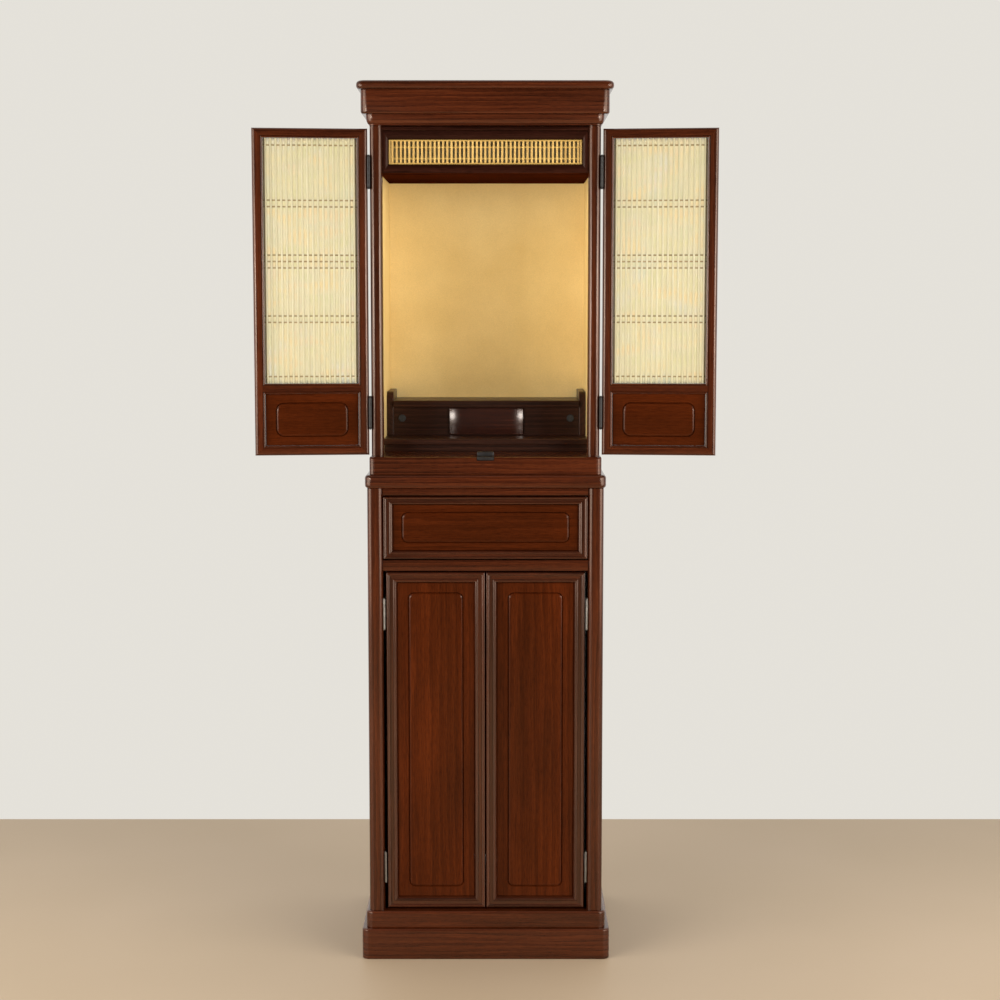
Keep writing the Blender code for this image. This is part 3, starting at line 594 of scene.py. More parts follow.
def floor_finish():
    """Pale floor with the faintest clouding."""
    made, tree, shader = new_finish("pale_floor", 0.55)
    place = add(tree, "ShaderNodeTexCoord").outputs["Object"]
    cloud = noise(tree, place, scale=1.4)
    tree.links.new(ramp(tree, cloud, FLOOR_TONES), shader.inputs["Base Color"])
    return made


# Wood tones: dark, middle and light
REDDISH = ((0.022, 0.0046, 0.0014), (0.052, 0.0110, 0.0030), (0.084, 0.0205, 0.0060))
BEADED = ((0.016, 0.0033, 0.0010), (0.040, 0.0080, 0.0021), (0.065, 0.0150, 0.0042))
# The lacquered wood darkened to about half: painted shade for the transom frame and header, which lie
# in the shadow under the cornice
PAINTED_SHADE = ((0.010, 0.0028, 0.0015), (0.022, 0.0064, 0.0036), (0.037, 0.0115, 0.0068))
PANEL = ((0.036, 0.0068, 0.0012), (0.056, 0.0105, 0.0018), (0.078, 0.0155, 0.0030))
STAGE = ((0.010, 0.0034, 0.0020), (0.027, 0.0090, 0.0050), (0.050, 0.0175, 0.0095))
FRONT = ((0.014, 0.0032, 0.0016), (0.038, 0.0092, 0.0046), (0.064, 0.0170, 0.0085))
INSIDE = ((0.110, 0.0560, 0.0280), (0.190, 0.1050, 0.0550), (0.270, 0.1620, 0.0900))

dark_wood = wood("lacquered_wood", REDDISH)
bead_wood = wood("glossy_frame_wood", BEADED, specular=0.85)
dark_wood_z = wood("lacquered_wood_upright", REDDISH, "z")
dark_wood_x = wood("lacquered_wood_level", REDDISH, "x")
# Painted shade: the transom's wood at the darkened tones
painted_shade_wood = wood("transom_wood_painted_shade", PAINTED_SHADE, specular=0.12)
panel_wood = wood("panel_wood", PANEL, specular=0.16, rings=22.0)
stage_wood = wood("stage_wood", STAGE, roughness=(0.28, 0.40), specular=0.25)
stage_wood_x = wood("stage_wood_level", STAGE, "x", roughness=(0.28, 0.40), specular=0.25)
bright_wood = wood("glossy_front_wood", FRONT, roughness=(0.20, 0.28), coat=0.9)
ceiling_wood = wood("ceiling_wood", REDDISH, "x", (0.60, 0.75), specular=0.0)
inside_wood_z = wood("inside_wood_upright", INSIDE, "z", (0.45, 0.60))
inside_wood_x = wood("inside_wood_level", INSIDE, "x", (0.45, 0.60))
inside_wood_y = wood("inside_wood_deep", INSIDE, "y", (0.45, 0.60))
gold_lining = gold_sheet("gold_lining")
gold_slats = slat_finish("gold_slats", ((0.470, 0.280, 0.065), (0.700, 0.460, 0.130)), 0.40)
pale_slats = slat_finish("pale_slats", ((0.460, 0.418, 0.250), (0.560, 0.518, 0.335)), 0.0)
brown_bars = slat_finish("brown_cross_bars", ((0.240, 0.170, 0.065), (0.360, 0.270, 0.120)), 0.0)
screen_cloth = screen_cloth_finish("screen_cloth")
black_tones = ((0.006, 0.005, 0.005), (0.016, 0.013, 0.012))
black_metal = metal("black_metal", black_tones, (0.34, 0.48), 0.3, 900)
steel_tones = ((0.180, 0.168, 0.150), (0.300, 0.280, 0.252))
steel = metal("drawn_steel", steel_tones, (0.34, 0.46), 1.0, 900)
rubber_tones = ((0.008, 0.008, 0.009), (0.020, 0.020, 0.022))
black_rubber = metal("black_rubber", rubber_tones, (0.45, 0.60), 0.0, 500)


# Mouldings


def plan_ring(x, y, inset):
    """A case's plan, drawn in by inset: round front corners, nearly square back ones."""
    front = max(PLAN_CORNER - inset / 2, PLAN_BACK_CORNER)
    radii = np.array([PLAN_BACK_CORNER, PLAN_BACK_CORNER, front, front])
    return rounded((x[0] + inset, x[1] - inset), (y[0] + inset, y[1]), radii)


def moulding(node, levels, inner=None):
    """Pile a case's plan up through levels of (inset, height), the grain running round it.

    With an inner wall, the rings come back down inside it, so the board is a ring of boards.
    """
    x, y, _ = span(node)
    rings = [plan_ring(x, y, inset) for inset, _ in levels]
    heights = [height for _, height in levels]
    if inner:
        hole = rounded((x[0] + inner, x[1] - inner), (y[0] + inner, y[1] - inner), HOLE_CORNER)
        rings += [hole, hole]
        heights += [heights[-1], heights[0]]
    rings = np.stack(rings)
    tall = np.broadcast_to(np.array(heights)[:, None, None], (*rings.shape[:2], 1))
    points = np.concatenate([rings, tall], -1)
    outer = plan_ring(x, y, 0.0)
    steps = np.linalg.norm(np.roll(outer, -1, 0) - outer, axis=1)
    run = np.concatenate([[0.0], np.cumsum(steps)])
    run = np.broadcast_to(run, (len(heights), len(run)))
    high = np.broadcast_to(np.array(heights)[:, None], run.shape)
    deep = np.zeros_like(run) + np.arange(len(heights))[:, None] * GRAIN_STEP
    shift = any_shift()
    grain = np.stack([run, high, deep], -1) + shift
    return shell(points, grain, bool(inner), points + shift)


def eased_levels(z, low_edge, high_edge):
    """Levels (inset, height) of a board with a quarter round below and above."""
    turns = np.radians(np.linspace(0, 90, EASED_STEPS + 1))
    low = np.stack([low_edge * (1 - np.sin(turns)), z[0] + low_edge * (1 - np.cos(turns))], -1)
    high = np.stack([high_edge * (1 - np.cos(turns)), z[1] - high_edge * (1 - np.sin(turns))], -1)
    return np.concatenate([low, high]).tolist()


def cove_levels(z, cove):
    """Levels of a cove that flares upwards: inset = cove * (1 - sin t), height as 1 - cos t."""
    turns = np.radians(np.linspace(0, 90, COVE_STEPS + 1))
    tall = z[1] - z[0] - 2 * COVE_LIP
    rise = z[0] + COVE_LIP + tall * (1 - np.cos(turns))
    return [(cove, z[0]), *np.stack([cove * (1 - np.sin(turns)), rise], -1).tolist(), (0.0, z[1])]


def build_boards():
    """The six moulded boards, from the plinth up to the cornice cap."""
    boards = (
        ("plinth", "plinth_boards", 0.002, 0.004, PLINTH_WALL),
        ("base_board", "base_moulding", 0.001, 0.005, None),
        ("waist_board", "waist_moulding", 0.007, 0.007, None),
        ("cornice_fascia", "fascia_boards", 0.005, 0.001, FASCIA_WALL),
        ("cornice_cap", "cap_moulding", 0.007, 0.008, None),
    )
    for node, name, low_edge, high_edge, inner in boards:
        levels = eased_levels(span(node)[2], low_edge, high_edge)
        piece(name, moulding(node, levels, inner=inner), "cabinet", "dark_wood", dark_wood, node)
    shape = moulding("cornice_foot", cove_levels(span("cornice_foot")[2], FOOT_COVE))
    piece("cornice_cove", shape, "cabinet", "dark_wood", dark_wood, "cornice_foot")


def build_straight_boards():
    """Posts with round front corners, and the rails between them with eased edges."""
    for word, _ in SIDES:
        for level, radius in POST_CORNERS:
            node = f"{level}_post_{word}"
            x, y, z = span(node)
            outline = rounded(x, y, np.array([POST_BACK_CORNER, POST_BACK_CORNER, radius, radius]))
            shape = carried(outline, "z", *z)
            piece(f"{level}_round_post_{word}", shape, "cabinet", "dark_wood", dark_wood, node)
    # The transom header takes the darkened wood, as painted shade
    rails = {"top_rail": dark_wood, "middle_rail": dark_wood, "transom_header": painted_shade_wood}
    for node, finish in rails.items():
        x, y, z = span(node)
        shape = carried(rounded(y, z, RAIL_EDGE), "x", *x)
        piece(f"{node}_eased", shape, "cabinet", "dark_wood", finish, node)


# Frames and panels


def two_bead_section(width, thick):
    """A frame's section (u, v): two beads over a shallow hollow, and a steep fall to the panel.

    With s = u / width, v / thick is the base, plus tall * sqrt(1 - ((s - centre) / half)^2) on
    each bead, less the sag times sin(pi * s).
    """
    s = np.linspace(*BEAD_SPAN, BEAD_POINTS)
    rise = np.full_like(s, BEAD_BASE)
    for centre, half, tall in BEADS:
        rise += tall * np.sqrt(np.clip(1 - ((s - centre) / half) ** 2, 0, None))
    rise -= BEAD_SAG * np.sin(np.pi * s)
    top = np.stack([s * width, rise * thick], -1)
    side = [(0.0, 0.0), (0.0, FRAME_SIDE * thick)]
    return np.concatenate([side, top, np.array(FRAME_FALL) * (width, thick)])


def mitred(x, z, section, share, face, forward=-1.0):
    """A frame of four members whose section runs round a rectangle, mitred at the corners.

    The stiles' section is (u, v), the rails' (u * share, v). v rises along Y by forward.
    """
    up = (0.0, forward, 0.0)
    rail = section * (share, 1.0)
    tall = z[1] - z[0]
    wide = x[1] - x[0]
    members = []
    for start, inward in ((x[0], (1, 0, 0)), (x[1], (-1, 0, 0))):
        axes = ((0, 0, 1), inward, up)
        place = (start, face, z[0])
        members.append(carried(section, axes, 0.0, tall, 0.0, (share, -share), place))
    for start, inward in ((z[0], (0, 0, 1)), (z[1], (0, 0, -1))):
        axes = ((1, 0, 0), inward, up)
        place = (x[0], face, start)
        members.append(carried(rail, axes, 0.0, wide, 0.0, (1 / share, -1 / share), place))
    return together(*members)


def grooved(x, z, face, back, insets, along, shift):
    """A flat panel with a round-cornered line cut in its face.

    Rings of a rounded rectangle, from the back over the edge to the face and in across the line:
    down and up a steep V, then up a slope of 20 degrees to the field inside.
    """
    inward = math.copysign(1.0, back - face)
    rows = [
        (0.0, 0.0, PANEL_CORNER, back),
        (0.0, 0.0, PANEL_CORNER, face + inward * PANEL_EASE),
        (PANEL_EASE, PANEL_EASE, PANEL_EASE, face),
    ]
    across = np.concatenate([[-GROOVE_MARGIN], GROOVE_ACROSS, [GROOVE_MARGIN]])
    sink = np.concatenate([[0.0], GROOVE_SINK, [0.0]])
    for a, d in zip(across, sink):
        rows.append((insets[0] + a, insets[1] + a, insets[2] - a, face + inward * d))
    rings = []
    for dx, dz, radius, y in rows:
        ring = rounded((x[0] + dx, x[1] - dx), (z[0] + dz, z[1] - dz), radius)
        rings.append(np.stack([ring[:, 0], np.full(len(ring), y), ring[:, 1]], -1))
    rings = np.stack(rings)
    return shell(rings, rings @ AXES[along].T + np.array(shift))


def build_lower_fronts():
    """The two lower doors and the drawer: a beaded frame round a panel with a cut line."""
    fronts = (
        ("lower_door", "_left", LOW_STILE, LOW_STILE, DOOR_GROOVE, "z", (0.3, 0.155, 0.24)),
        ("lower_door", "_right", LOW_STILE, LOW_STILE, DOOR_GROOVE, "z", (-0.9, -0.06, 0.25)),
        ("drawer", "", DRAWER_STILE, DRAWER_RAIL, DRAWER_GROOVE, "x", (0.2, 0.215, -0.92)),
    )
    for word, end, stile, rail, groove, along, shift in fronts:
        body = word + end
        x, _, z = span(f"{word}_frame{end}")
        section = two_bead_section(stile, FRAME_THICK)
        shape = mitred(x, z, section, rail / stile, FRAME_BACK)
        piece(f"{word}_beaded_frame{end}", shape, body, "dark_wood", bead_wood, f"{word}_frame{end}")
        x, y, z = span(f"{word}_panel{end}")
        shape = grooved(x, z, y[0], y[1], groove, along, shift)
        piece(f"{word}_cut_panel{end}", shape, body, "panel_wood", panel_wood, f"{word}_panel{end}")


# Screen doors


def opened(shape, side):
    """Turn a door's shape about its hinge line, from shut to the way it stands open."""
    points, batches = shape
    turn = math.radians(side * SCREEN_OPEN)
    cos = math.cos(turn)
    sin = math.sin(turn)
    spin = np.array([[cos, -sin, 0], [sin, cos, 0], [0, 0, 1]])
    return points @ spin.T + np.array([side * SCREEN_LINE[0], SCREEN_LINE[1], 0.0]), batches


def screen_member_section(width):
    """A door member's section: round outer edges, flat faces, and a rebate for the bead inside."""
    half = SCREEN_HALF
    turns = np.radians(np.linspace(180, 90, CORNER_STEPS + 1))
    centre = half - SCREEN_ROUND
    u = SCREEN_ROUND * (1 + np.cos(turns))
    upper = np.stack([u, centre + SCREEN_ROUND * np.sin(turns)], -1)
    low = half - SCREEN_BEAD_SINK
    rest = np.array([(width - SCREEN_BEAD, half), (width - SCREEN_BEAD, low), (width, low)])
    upper = np.concatenate([upper, rest])
    return np.concatenate([upper, (upper * (1, -1))[::-1]])


def bead_section():
    """A bead: a small quirk, then half an ellipse that falls to the opening."""
    base = SCREEN_HALF - SCREEN_BEAD_SINK - CROWN_SEAT
    turns = np.radians(np.linspace(180, 0, CROWN_STEPS + 1))
    across = SCREEN_BEAD * CROWN_CENTRE + SCREEN_BEAD * CROWN_REACH * np.cos(turns)
    crown = np.stack([across, base + CROWN_FOOT + CROWN_RISE * np.sin(turns)], -1)
    return np.concatenate([[(0.0, base), (0.0, base + CROWN_QUIRK)], crown, [(SCREEN_BEAD, base)]])


def bead_ring(x, z, forward):
    """A mitred bead round one opening, on one face of a door."""
    outer_x = (x[0] - SCREEN_BEAD, x[1] + SCREEN_BEAD)
    outer_z = (z[0] - SCREEN_BEAD, z[1] + SCREEN_BEAD)
    return mitred(outer_x, outer_z, bead_section(), 1.0, SCREEN_MIDDLE, forward)


def middle_bar(x):
    """The bar between the two openings, rebated above and below for the beads."""
    half = SCREEN_HALF - BAR_SHY
    low = half - SCREEN_BEAD_SINK
    z = (0.0, MIDDLE_BAR[1] - MIDDLE_BAR[0])
    upper = [(z[0], low), (SCREEN_BEAD, low), (SCREEN_BEAD, half), (z[1] - SCREEN_BEAD, half)]
    upper = np.array(upper + [(z[1] - SCREEN_BEAD, low), (z[1], low)])
    section = np.concatenate([upper, (upper * (1, -1))[::-1]])
    axes = ((1, 0, 0), (0, 0, 1), (0, 1, 0))
    return carried(section, axes, x[0], x[1], at=(0, SCREEN_MIDDLE, MIDDLE_BAR[0]))


def cross_bar_heights(z):
    """The heights of the slender bars: one, two, three, two, one."""
    middle = (z[0] + z[1]) / 2
    low = z[0] + CROSS_END
    high = z[1] - CROSS_END
    heights = [low, high]
    for centre, count in (((low + middle) / 2, 2), (middle, 3), ((middle + high) / 2, 2)):
        heights += [centre + CROSS_PITCH * (i - (count - 1) / 2) for i in range(count)]
    return heights


def build_cloth(name, x, z, side, body, backing):
    """The screen's cloth: a flat grid with a slack of a fifth of a millimetre between its edges.

    With a across it and b up it, both from 0 to 1, the slack is the product of sin(pi * a),
    sin(pi * b) and 0.6 + 0.4 * sin(17 * a + 9 * b).
    """
    columns = np.linspace(x[0], x[1], CLOTH_COLUMNS + 1)
    rows = np.linspace(z[0], z[1], CLOTH_ROWS + 1)
    px, pz = np.meshgrid(columns, rows)
    across = (px - x[0]) / (x[1] - x[0])
    up = (pz - z[0]) / (z[1] - z[0])
    ripple = 0.6 + 0.4 * np.sin(17 * across + 9 * up)
    slack = np.sin(math.pi * across) * np.sin(math.pi * up) * ripple
    y = SCREEN_MIDDLE - CLOTH_BEHIND + CLOTH_SLACK * slack
    points = np.stack([px, y, pz], -1).reshape(-1, 3)
    r, c = np.meshgrid(np.arange(CLOTH_ROWS), np.arange(CLOTH_COLUMNS), indexing="ij")
    first = r * len(columns) + c
    corners = [first, first + 1, first + len(columns) + 1, first + len(columns)]
    index = np.stack(corners, -1).reshape(-1, 4)
    grain = points[index][..., [0, 2, 1]]
    shape = opened((points, [(index, grain)]), side)
    made = piece(name, shape, body, "screen_cloth", screen_cloth, backing)
    wall = made.modifiers.new("thickness", "SOLIDIFY")
    wall.thickness = CLOTH_THICK
    wall.offset = 0.0


def build_screen_door(word, side):
    """One screen door: its frame and beads, its panel, its cloth, its cross bars and its slats."""
    body = f"screen_door_{word}"
    x = tuple(sorted((-side * SCREEN_X[0], -side * SCREEN_X[1])))
    z = SCREEN_Z
    inner_x = (x[0] + SCREEN_STILE, x[1] - SCREEN_STILE)
    window = (MIDDLE_BAR[1], z[1] - SCREEN_RAIL)
    lower = (z[0] + SCREEN_RAIL, MIDDLE_BAR[0])
    section = screen_member_section(SCREEN_STILE)
    parts = [mitred(x, z, section, SCREEN_RAIL / SCREEN_STILE, SCREEN_MIDDLE, 1.0)]
    reach = SCREEN_BEAD + BAR_LAP
    parts.append(middle_bar((inner_x[0] - reach, inner_x[1] + reach)))
    for forward in (-1.0, 1.0):
        parts += [bead_ring(inner_x, window, forward), bead_ring(inner_x, lower, forward)]
    frame_piece = f"screen_beaded_frame_{word}"
    shape = opened(together(*parts), side)
    piece(frame_piece, shape, body, "dark_wood", dark_wood, f"screen_frame_{word}")
    faces = (SCREEN_MIDDLE + PANEL_HALF, SCREEN_MIDDLE - PANEL_HALF)
    seated_x = (inner_x[0] + SEAT, inner_x[1] - SEAT)
    panel_z = (lower[0] + SEAT, lower[1] - SEAT)
    panel = opened(grooved(seated_x, panel_z, *faces, SCREEN_GROOVE, "x", PANEL_PLACE), side)
    piece(f"screen_cut_panel_{word}", panel, body, "panel_wood", panel_wood, f"screen_panel_{word}")
    screen_z = (window[0] + SEAT, window[1] - SEAT)
    backing = f"screen_backing_{word}"
    build_cloth(f"screen_cloth_{word}", seated_x, screen_z, side, body, backing)
    bars = []
    depth = (SCREEN_MIDDLE, SCREEN_MIDDLE + CROSS_THICK)
    for height in cross_bar_heights(screen_z):
        tall = (height - CROSS_BAR / 2, height + CROSS_BAR / 2)
        bars.append(carried(rounded(depth, tall, CROSS_ROUND, steps=2), "x", *seated_x))
    piece(f"screen_cross_bars_{word}", opened(together(*bars), side), body, "dark_wood", brown_bars)
    slats = []
    pitch = (seated_x[1] - seated_x[0]) / SLATS
    near = SCREEN_MIDDLE + CROSS_THICK + SEAT
    for i in range(SLATS):
        middle = seated_x[0] + pitch * (i + 0.5)
        wide = (middle - SLAT_WIDTH / 2, middle + SLAT_WIDTH / 2)
        outline = rounded(wide, (near, near + SLAT_THICK), SLAT_RADII, steps=4)
        slats.append(carried(outline, "z", *screen_z, edge=SLAT_EDGE))
    node = f"screen_slats_{word}"
    shape = opened(together(*slats), side)
    piece(f"screen_round_slats_{word}", shape, body, "gold_slats", pale_slats, node)


# Hinges


def knuckles(radius, z):
    """A barrel's profile: knuckles parted by fine grooves, with a ball finial at each end."""
    step = (z[1] - z[0]) / KNUCKLES
    turns = np.radians(np.linspace(-80, 60, BALL_STEPS + 1))
    ball_radius = BALL_RADIUS * radius
    heights = z[0] - radius * BALL_BELOW + ball_radius * np.sin(turns)
    ball = np.stack([ball_radius * np.cos(turns), heights], -1).tolist()
    rows = list(ball)
    neck = radius - KNUCKLE_GROOVE
    for i in range(KNUCKLES):
        low = z[0] + step * i
        high = low + step
        rows += [(neck, low), (radius, low + KNUCKLE_EASE)]
        rows += [(radius, high - KNUCKLE_EASE), (neck, high)]
    return rows + [(r, z[0] + z[1] - h) for r, h in ball[::-1]]


def pin_and_leaf(node, side, pin, radius, short, leaf_x):
    """The part of a hinge that stays on the cabinet: a barrel round its pin, and the post's leaf."""
    _, y, z = span(node)
    centre = (side * pin[0], pin[1], 0.0)
    profile = knuckles(radius, (z[0] + short, z[1] - short))
    barrel = turned(profile, centre, (0, 0, 1), BARREL_SIDES)
    x = tuple(sorted((side * leaf_x[0], side * leaf_x[1])))
    outline = rounded(x, (pin[1], y[1]), LEAF_EDGE, steps=2)
    return together(barrel, carried(outline, "z", *z, edge=LEAF_EDGE))


def build_hinges():
    """Slender butt hinges. Only those of the screen doors show a leaf on the door."""
    for word, side in SIDES:
        for place in ("bottom", "top"):
            node = f"screen_hinge_{word}_{place}"
            shape = pin_and_leaf(node, side, *SCREEN_HINGE)
            piece(f"screen_pin_{word}_{place}", shape, "cabinet", "black_metal", black_metal, node)
            x = tuple(sorted((-side * DOOR_LEAF_X[0], -side * DOOR_LEAF_X[1])))
            outline = rounded(x, DOOR_LEAF_Y, DOOR_LEAF_EDGE, steps=2)
            leaf = opened(carried(outline, "z", *span(node)[2], edge=DOOR_LEAF_EDGE), side)
            body = f"screen_door_{word}"
            piece(f"screen_leaf_{word}_{place}", leaf, body, "black_metal", black_metal)
            node = f"lower_hinge_{word}_{place}"
            shape = pin_and_leaf(node, side, *LOWER_HINGE)
            piece(f"lower_pin_{word}_{place}", shape, "cabinet", "steel", steel, node)


# The opening, its grille and the stage


def transom_section(width, thick):
    """Flat in front, then a quarter of an ellipse down to the grille.

    The outer side draws in towards the back.
    """
    turns = np.radians(np.linspace(90, 0, TRANSOM_STEPS + 1))
    across = width * (TRANSOM_FLAT + (1 - TRANSOM_FLAT) * np.cos(turns))
    rise = thick * (1 - TRANSOM_FALL + TRANSOM_FALL * np.sin(turns))
    side = [(TRANSOM_DRAFT, 0.0), (0.0, thick - TRANSOM_EDGE), (TRANSOM_EDGE, thick)]
    return np.concatenate([side, np.stack([across, rise], -1), [(width, 0.0)]])


def build_transom():
    """The frame over the opening, and the grille in it with its border, slats and two bars."""
    x, y, z = span("transom_frame")
    gx, gy, gz = span("transom_grille")
    stile = gx[0] - x[0] - SEAT
    rail = gz[0] - z[0] - SEAT
    section = transom_section(stile, y[1] - y[0])
    shape = mitred(x, z, section, rail / stile, y[1])
    # The frame takes the darkened wood, as painted shade
    piece("transom_sloped_frame", shape, "cabinet", "dark_wood", painted_shade_wood, "transom_frame")
    edge = rounded((0.0, GRILLE_BORDER), (0.0, gy[1] - gy[0]), GRILLE_BORDER_ROUND, steps=3)
    parts = [mitred(gx, gz, edge, 1.0, gy[1])]
    field = (gx[0] + GRILLE_BORDER, gx[1] - GRILLE_BORDER)
    pitch = (field[1] - field[0]) / GRILLE_SLATS
    lap = GRILLE_BORDER * GRILLE_LAP
    depth = (gy[0] + GRILLE_SLAT_FRONT, gy[1] - GRILLE_SLAT_BACK)
    for i in range(GRILLE_SLATS):
        middle = field[0] + pitch * (i + 0.5)
        wide = (middle - GRILLE_SLAT / 2, middle + GRILLE_SLAT / 2)
        outline = rounded(wide, depth, GRILLE_SLAT_ROUND, steps=3)
        parts.append(carried(outline, "z", gz[0] + lap, gz[1] - lap))
    depth = (gy[0] + GRILLE_BAR_FRONT, gy[1])
    for height in GRILLE_BARS:
        tall = (height - GRILLE_BAR_HALF, height + GRILLE_BAR_HALF)
        outline = rounded(depth, tall, GRILLE_BAR_ROUND, steps=2)
        parts.append(carried(outline, "x", gx[0] + lap, gx[1] - lap))
    shape = together(*parts)
    piece("transom_gold_grille", shape, "cabinet", "gold_slats", gold_slats, "transom_grille")


def nosed(node, name, underside):
    """A board carried along X: its upper front edge a quarter round, its lower one eased."""
    x, y, z = span(node)
    turns = np.radians(np.linspace(180, 90, SLAB_STEPS + 1))
    front = y[0] + SLAB_EDGE + SLAB_EDGE * np.cos(turns)
    rise = z[1] - SLAB_EDGE + SLAB_EDGE * np.sin(turns)
    section = np.concatenate([[(y[1], z[1]), (y[1], z[0])], underside, np.stack([front, rise], -1)])
    piece(name, carried(section[::-1], "x", *x), "cabinet", "stage_wood", stage_wood, node)


def build_cheek(word):
    """A cheek of the stage, its upper front corner a quarter round, let over the lower step."""
    node = f"stage_cheek_{word}"
    x, y, z = span(node)
    _, step_y, step_z = span("stage_step")
    low = step_z[1] + SEAT
    behind = step_y[1] + SEAT
    turns = np.radians(np.linspace(90, 180, CHEEK_STEPS + 1))
    across = y[0] + CHEEK_RADIUS + CHEEK_RADIUS * np.cos(turns)
    rise = z[1] - CHEEK_RADIUS + CHEEK_RADIUS * np.sin(turns)
    foot = [(y[0], low), (behind, low), (behind, z[0]), (y[1], z[0]), (y[1], z[1])]
    section = np.concatenate([np.stack([across, rise], -1), foot])
    shape = regrained(carried(section, "x", *x, edge=CHEEK_EDGE), [1, 2, 0])
    piece(f"stage_round_cheek_{word}", shape, "cabinet", "stage_wood", stage_wood, node)


def build_cable_cover(word):
    """A round cap turned from shares of its radius and its depth."""
    node = f"cable_cover_{word}"
    x, y, z = span(node)
    profile = np.array(COVER_SHARES) * ((x[1] - x[0]) / 2, y[1] - y[0])
    centre = ((x[0] + x[1]) / 2, y[1], (z[0] + z[1]) / 2)
    shape = turned(profile, centre, (0, -1, 0), COVER_SIDES)
    piece(f"round_cable_cover_{word}", shape, "cabinet", "black_rubber", black_rubber, node)


def build_stage():
    """The stage: its nosed step and slab, its cheeks and its cable covers."""
    _, y, z = span("stage_step")
    low = z[1] - NOSING
    toe = y[0] + TOE_DEPTH
    underside = [(toe, z[0]), (toe, low), (y[0] + LOWER_EASE, low), (y[0], low + LOWER_EASE)]
    nosed("stage_step", "stage_nosed_step", underside)
    _, y, z = span("stage_slab")
    underside = [(y[0] + LOWER_EASE, z[0]), (y[0], z[0] + LOWER_EASE)]
    nosed("stage_slab", "stage_nosed_slab", underside)
    for word, _ in SIDES:
        build_cheek(word)
        build_cable_cover(word)


def build_small_drawer():
    """The small drawer's front: flat in the middle, its ends bowed back.

    The bow is depth * s^2, with s going from 0 where it starts to 1 at the end.
    """
    x, y, z = span("small_drawer_front")
    s = np.linspace(0, 1, BOW_STEPS + 1)
    bow = BOW_DEPTH * s ** 2
    right = np.stack([x[1] - BOW_LENGTH * (1 - s), y[0] + bow], -1)
    left = np.stack([x[0] + BOW_LENGTH * (1 - s[::-1]), y[0] + bow[::-1]], -1)
    outline = np.concatenate([left, right, [(x[1], y[1]), (x[0], y[1])]])
    shape = regrained(carried(outline, "z", *z, edge=BOW_EDGE), [1, 0, 2])
    name = "small_drawer_bowed_front"
    piece(name, shape, "small_drawer", "panel_wood", bright_wood, "small_drawer_front")


def build_catch():
    """The doors' catch: a plate let into the deck, with a raised stop along its back."""
    x, y, z = span("door_catch")
    deck_top = span("deck_board")[2][1]
    outline = rounded(y, (z[0], deck_top - CATCH_SINK), CATCH_CORNER, steps=3)
    plate = carried(outline, "x", -x[1], x[1], edge=CATCH_EDGE)
    outline = rounded((y[1] - STOP_DEPTH, y[1]), (deck_top - STOP_FOOT, z[1]), STOP_CORNER, steps=5)
    stop = carried(outline, "x", -x[1], x[1], edge=STOP_EDGE)
    shape = together(plate, stop)
    piece("catch_plate_and_stop", shape, "cabinet", "black_metal", black_metal, "door_catch")


def dress_kept_boards():
    """The finishes of the boards, linings and drawer boxes that stay as their CAD solids."""
    shown = {
        "deck_board": dark_wood_x,
        "lower_side_left": dark_wood_z,
        "lower_side_right": dark_wood_z,
        "upper_side_left": dark_wood_z,
        "upper_side_right": dark_wood_z,
        "lower_back": inside_wood_z,
        "upper_back": inside_wood_z,
        "drawer_board": inside_wood_x,
        "ceiling_board": ceiling_wood,
        "stage_apron": stage_wood_x,
        "gold_lining_left": gold_lining,
        "gold_lining_right": gold_lining,
        "gold_lining_back": gold_lining,
        "drawer_tray": inside_wood_y,
        "small_drawer_tray": inside_wood_y,
    }
    for node, finish in shown.items():
        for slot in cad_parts[node].material_slots:
            slot.material = finish


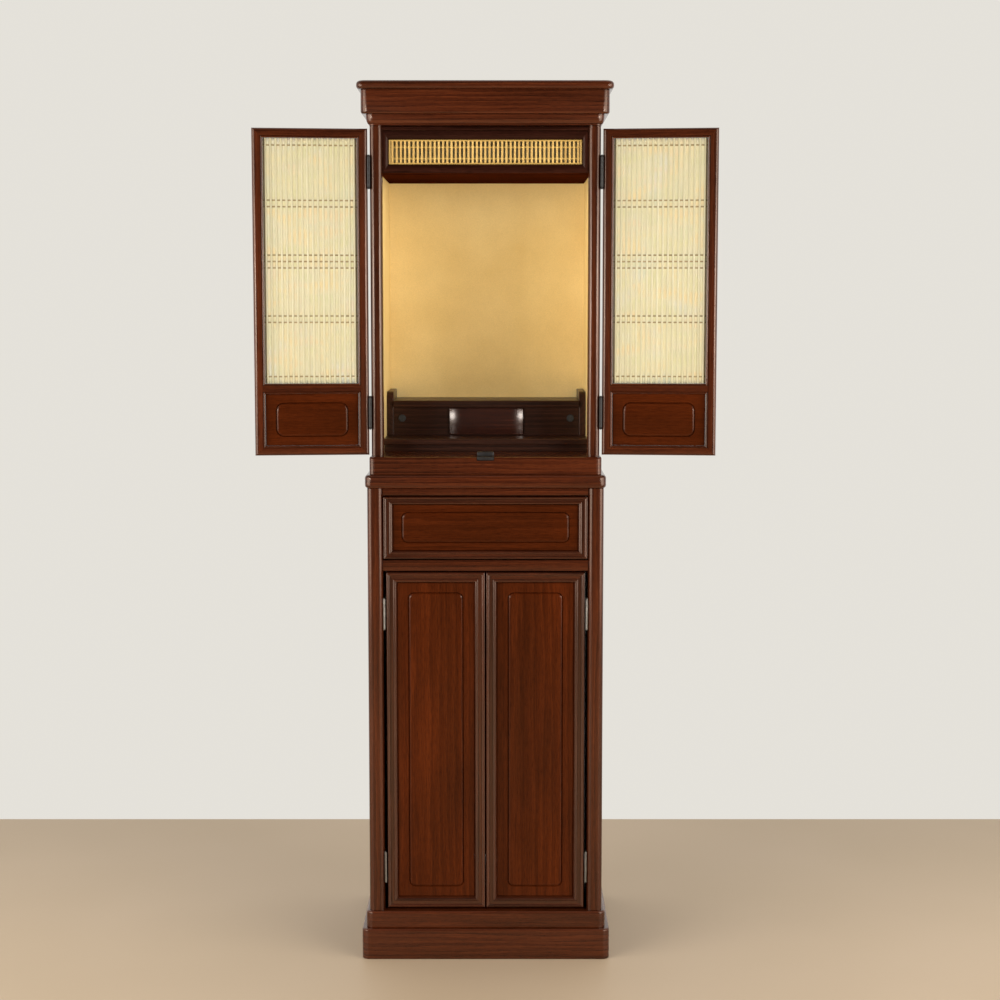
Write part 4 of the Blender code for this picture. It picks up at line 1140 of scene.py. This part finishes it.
def aimed(name, place, target, size, power, colour):
    """A soft rectangular light at place that faces the target."""
    lamp = bpy.data.lights.new(name, "AREA")
    lamp.shape = "RECTANGLE"
    lamp.size, lamp.size_y = size
    lamp.energy = power
    lamp.color = colour
    made = bpy.data.objects.new(name, lamp)
    made.location = place
    away = Vector(place) - Vector(target)
    made.rotation_euler = away.to_track_quat("Z", "Y").to_euler()
    made.visible_camera = False
    scene.collection.objects.link(made)


def build_studio():
    """The camera, a plain floor, surroundings dark in front and bright behind, and soft lights."""
    data = bpy.data.cameras.new("camera")
    data.lens = LENS
    data.sensor_width = SENSOR
    camera = bpy.data.objects.new("camera", data)
    camera.location = CAMERA_AT
    camera.rotation_euler = (math.radians(CAMERA_PITCH), 0.0, 0.0)
    scene.collection.objects.link(camera)
    scene.camera = camera
    scene.view_settings.view_transform = "Standard"
    world = bpy.data.worlds.new("pale_room")
    world.use_nodes = True
    scene.world = world
    tree = world.node_tree
    way = add(tree, "ShaderNodeTexCoord").outputs["Generated"]
    depth = add(tree, "ShaderNodeSeparateXYZ", None, {"Vector": way}).outputs["Y"]
    depth = add(tree, "ShaderNodeMapRange", None, {"Value": depth, "From Min": -1.0}).outputs[0]
    room = ramp(tree, depth, ROOM_TONES)
    seen = add(tree, "ShaderNodeLightPath").outputs["Is Camera Ray"]
    colour = mixed(tree, seen, room, BACKDROP)
    tree.links.new(colour, tree.nodes["Background"].inputs["Color"])
    mesh = bpy.data.meshes.new("floor")
    corners = [(-FLOOR_SIDE, -FLOOR_FRONT, 0), (FLOOR_SIDE, -FLOOR_FRONT, 0)]
    corners += [(FLOOR_SIDE, FLOOR_BACK, 0), (-FLOOR_SIDE, FLOOR_BACK, 0)]
    mesh.from_pydata(corners, [], [(0, 1, 2, 3)])
    mesh.materials.append(floor_finish())
    floor = bpy.data.objects.new("floor", mesh)
    scene.collection.objects.link(floor)
    for word, side in SIDES:
        for kind, (across, deep, high), *rest in SOFTBOXES:
            aimed(f"{word}_{kind}", (side * across, deep, high), *rest)
    aimed("shrine_glow", *SHRINE_GLOW)


def main():
    """Build the studio and every piece."""
    build_studio()
    build_boards()
    build_straight_boards()
    build_lower_fronts()
    for word, side in SIDES:
        build_screen_door(word, side)
    build_hinges()
    build_transom()
    build_stage()
    build_small_drawer()
    build_catch()
    dress_kept_boards()


main()
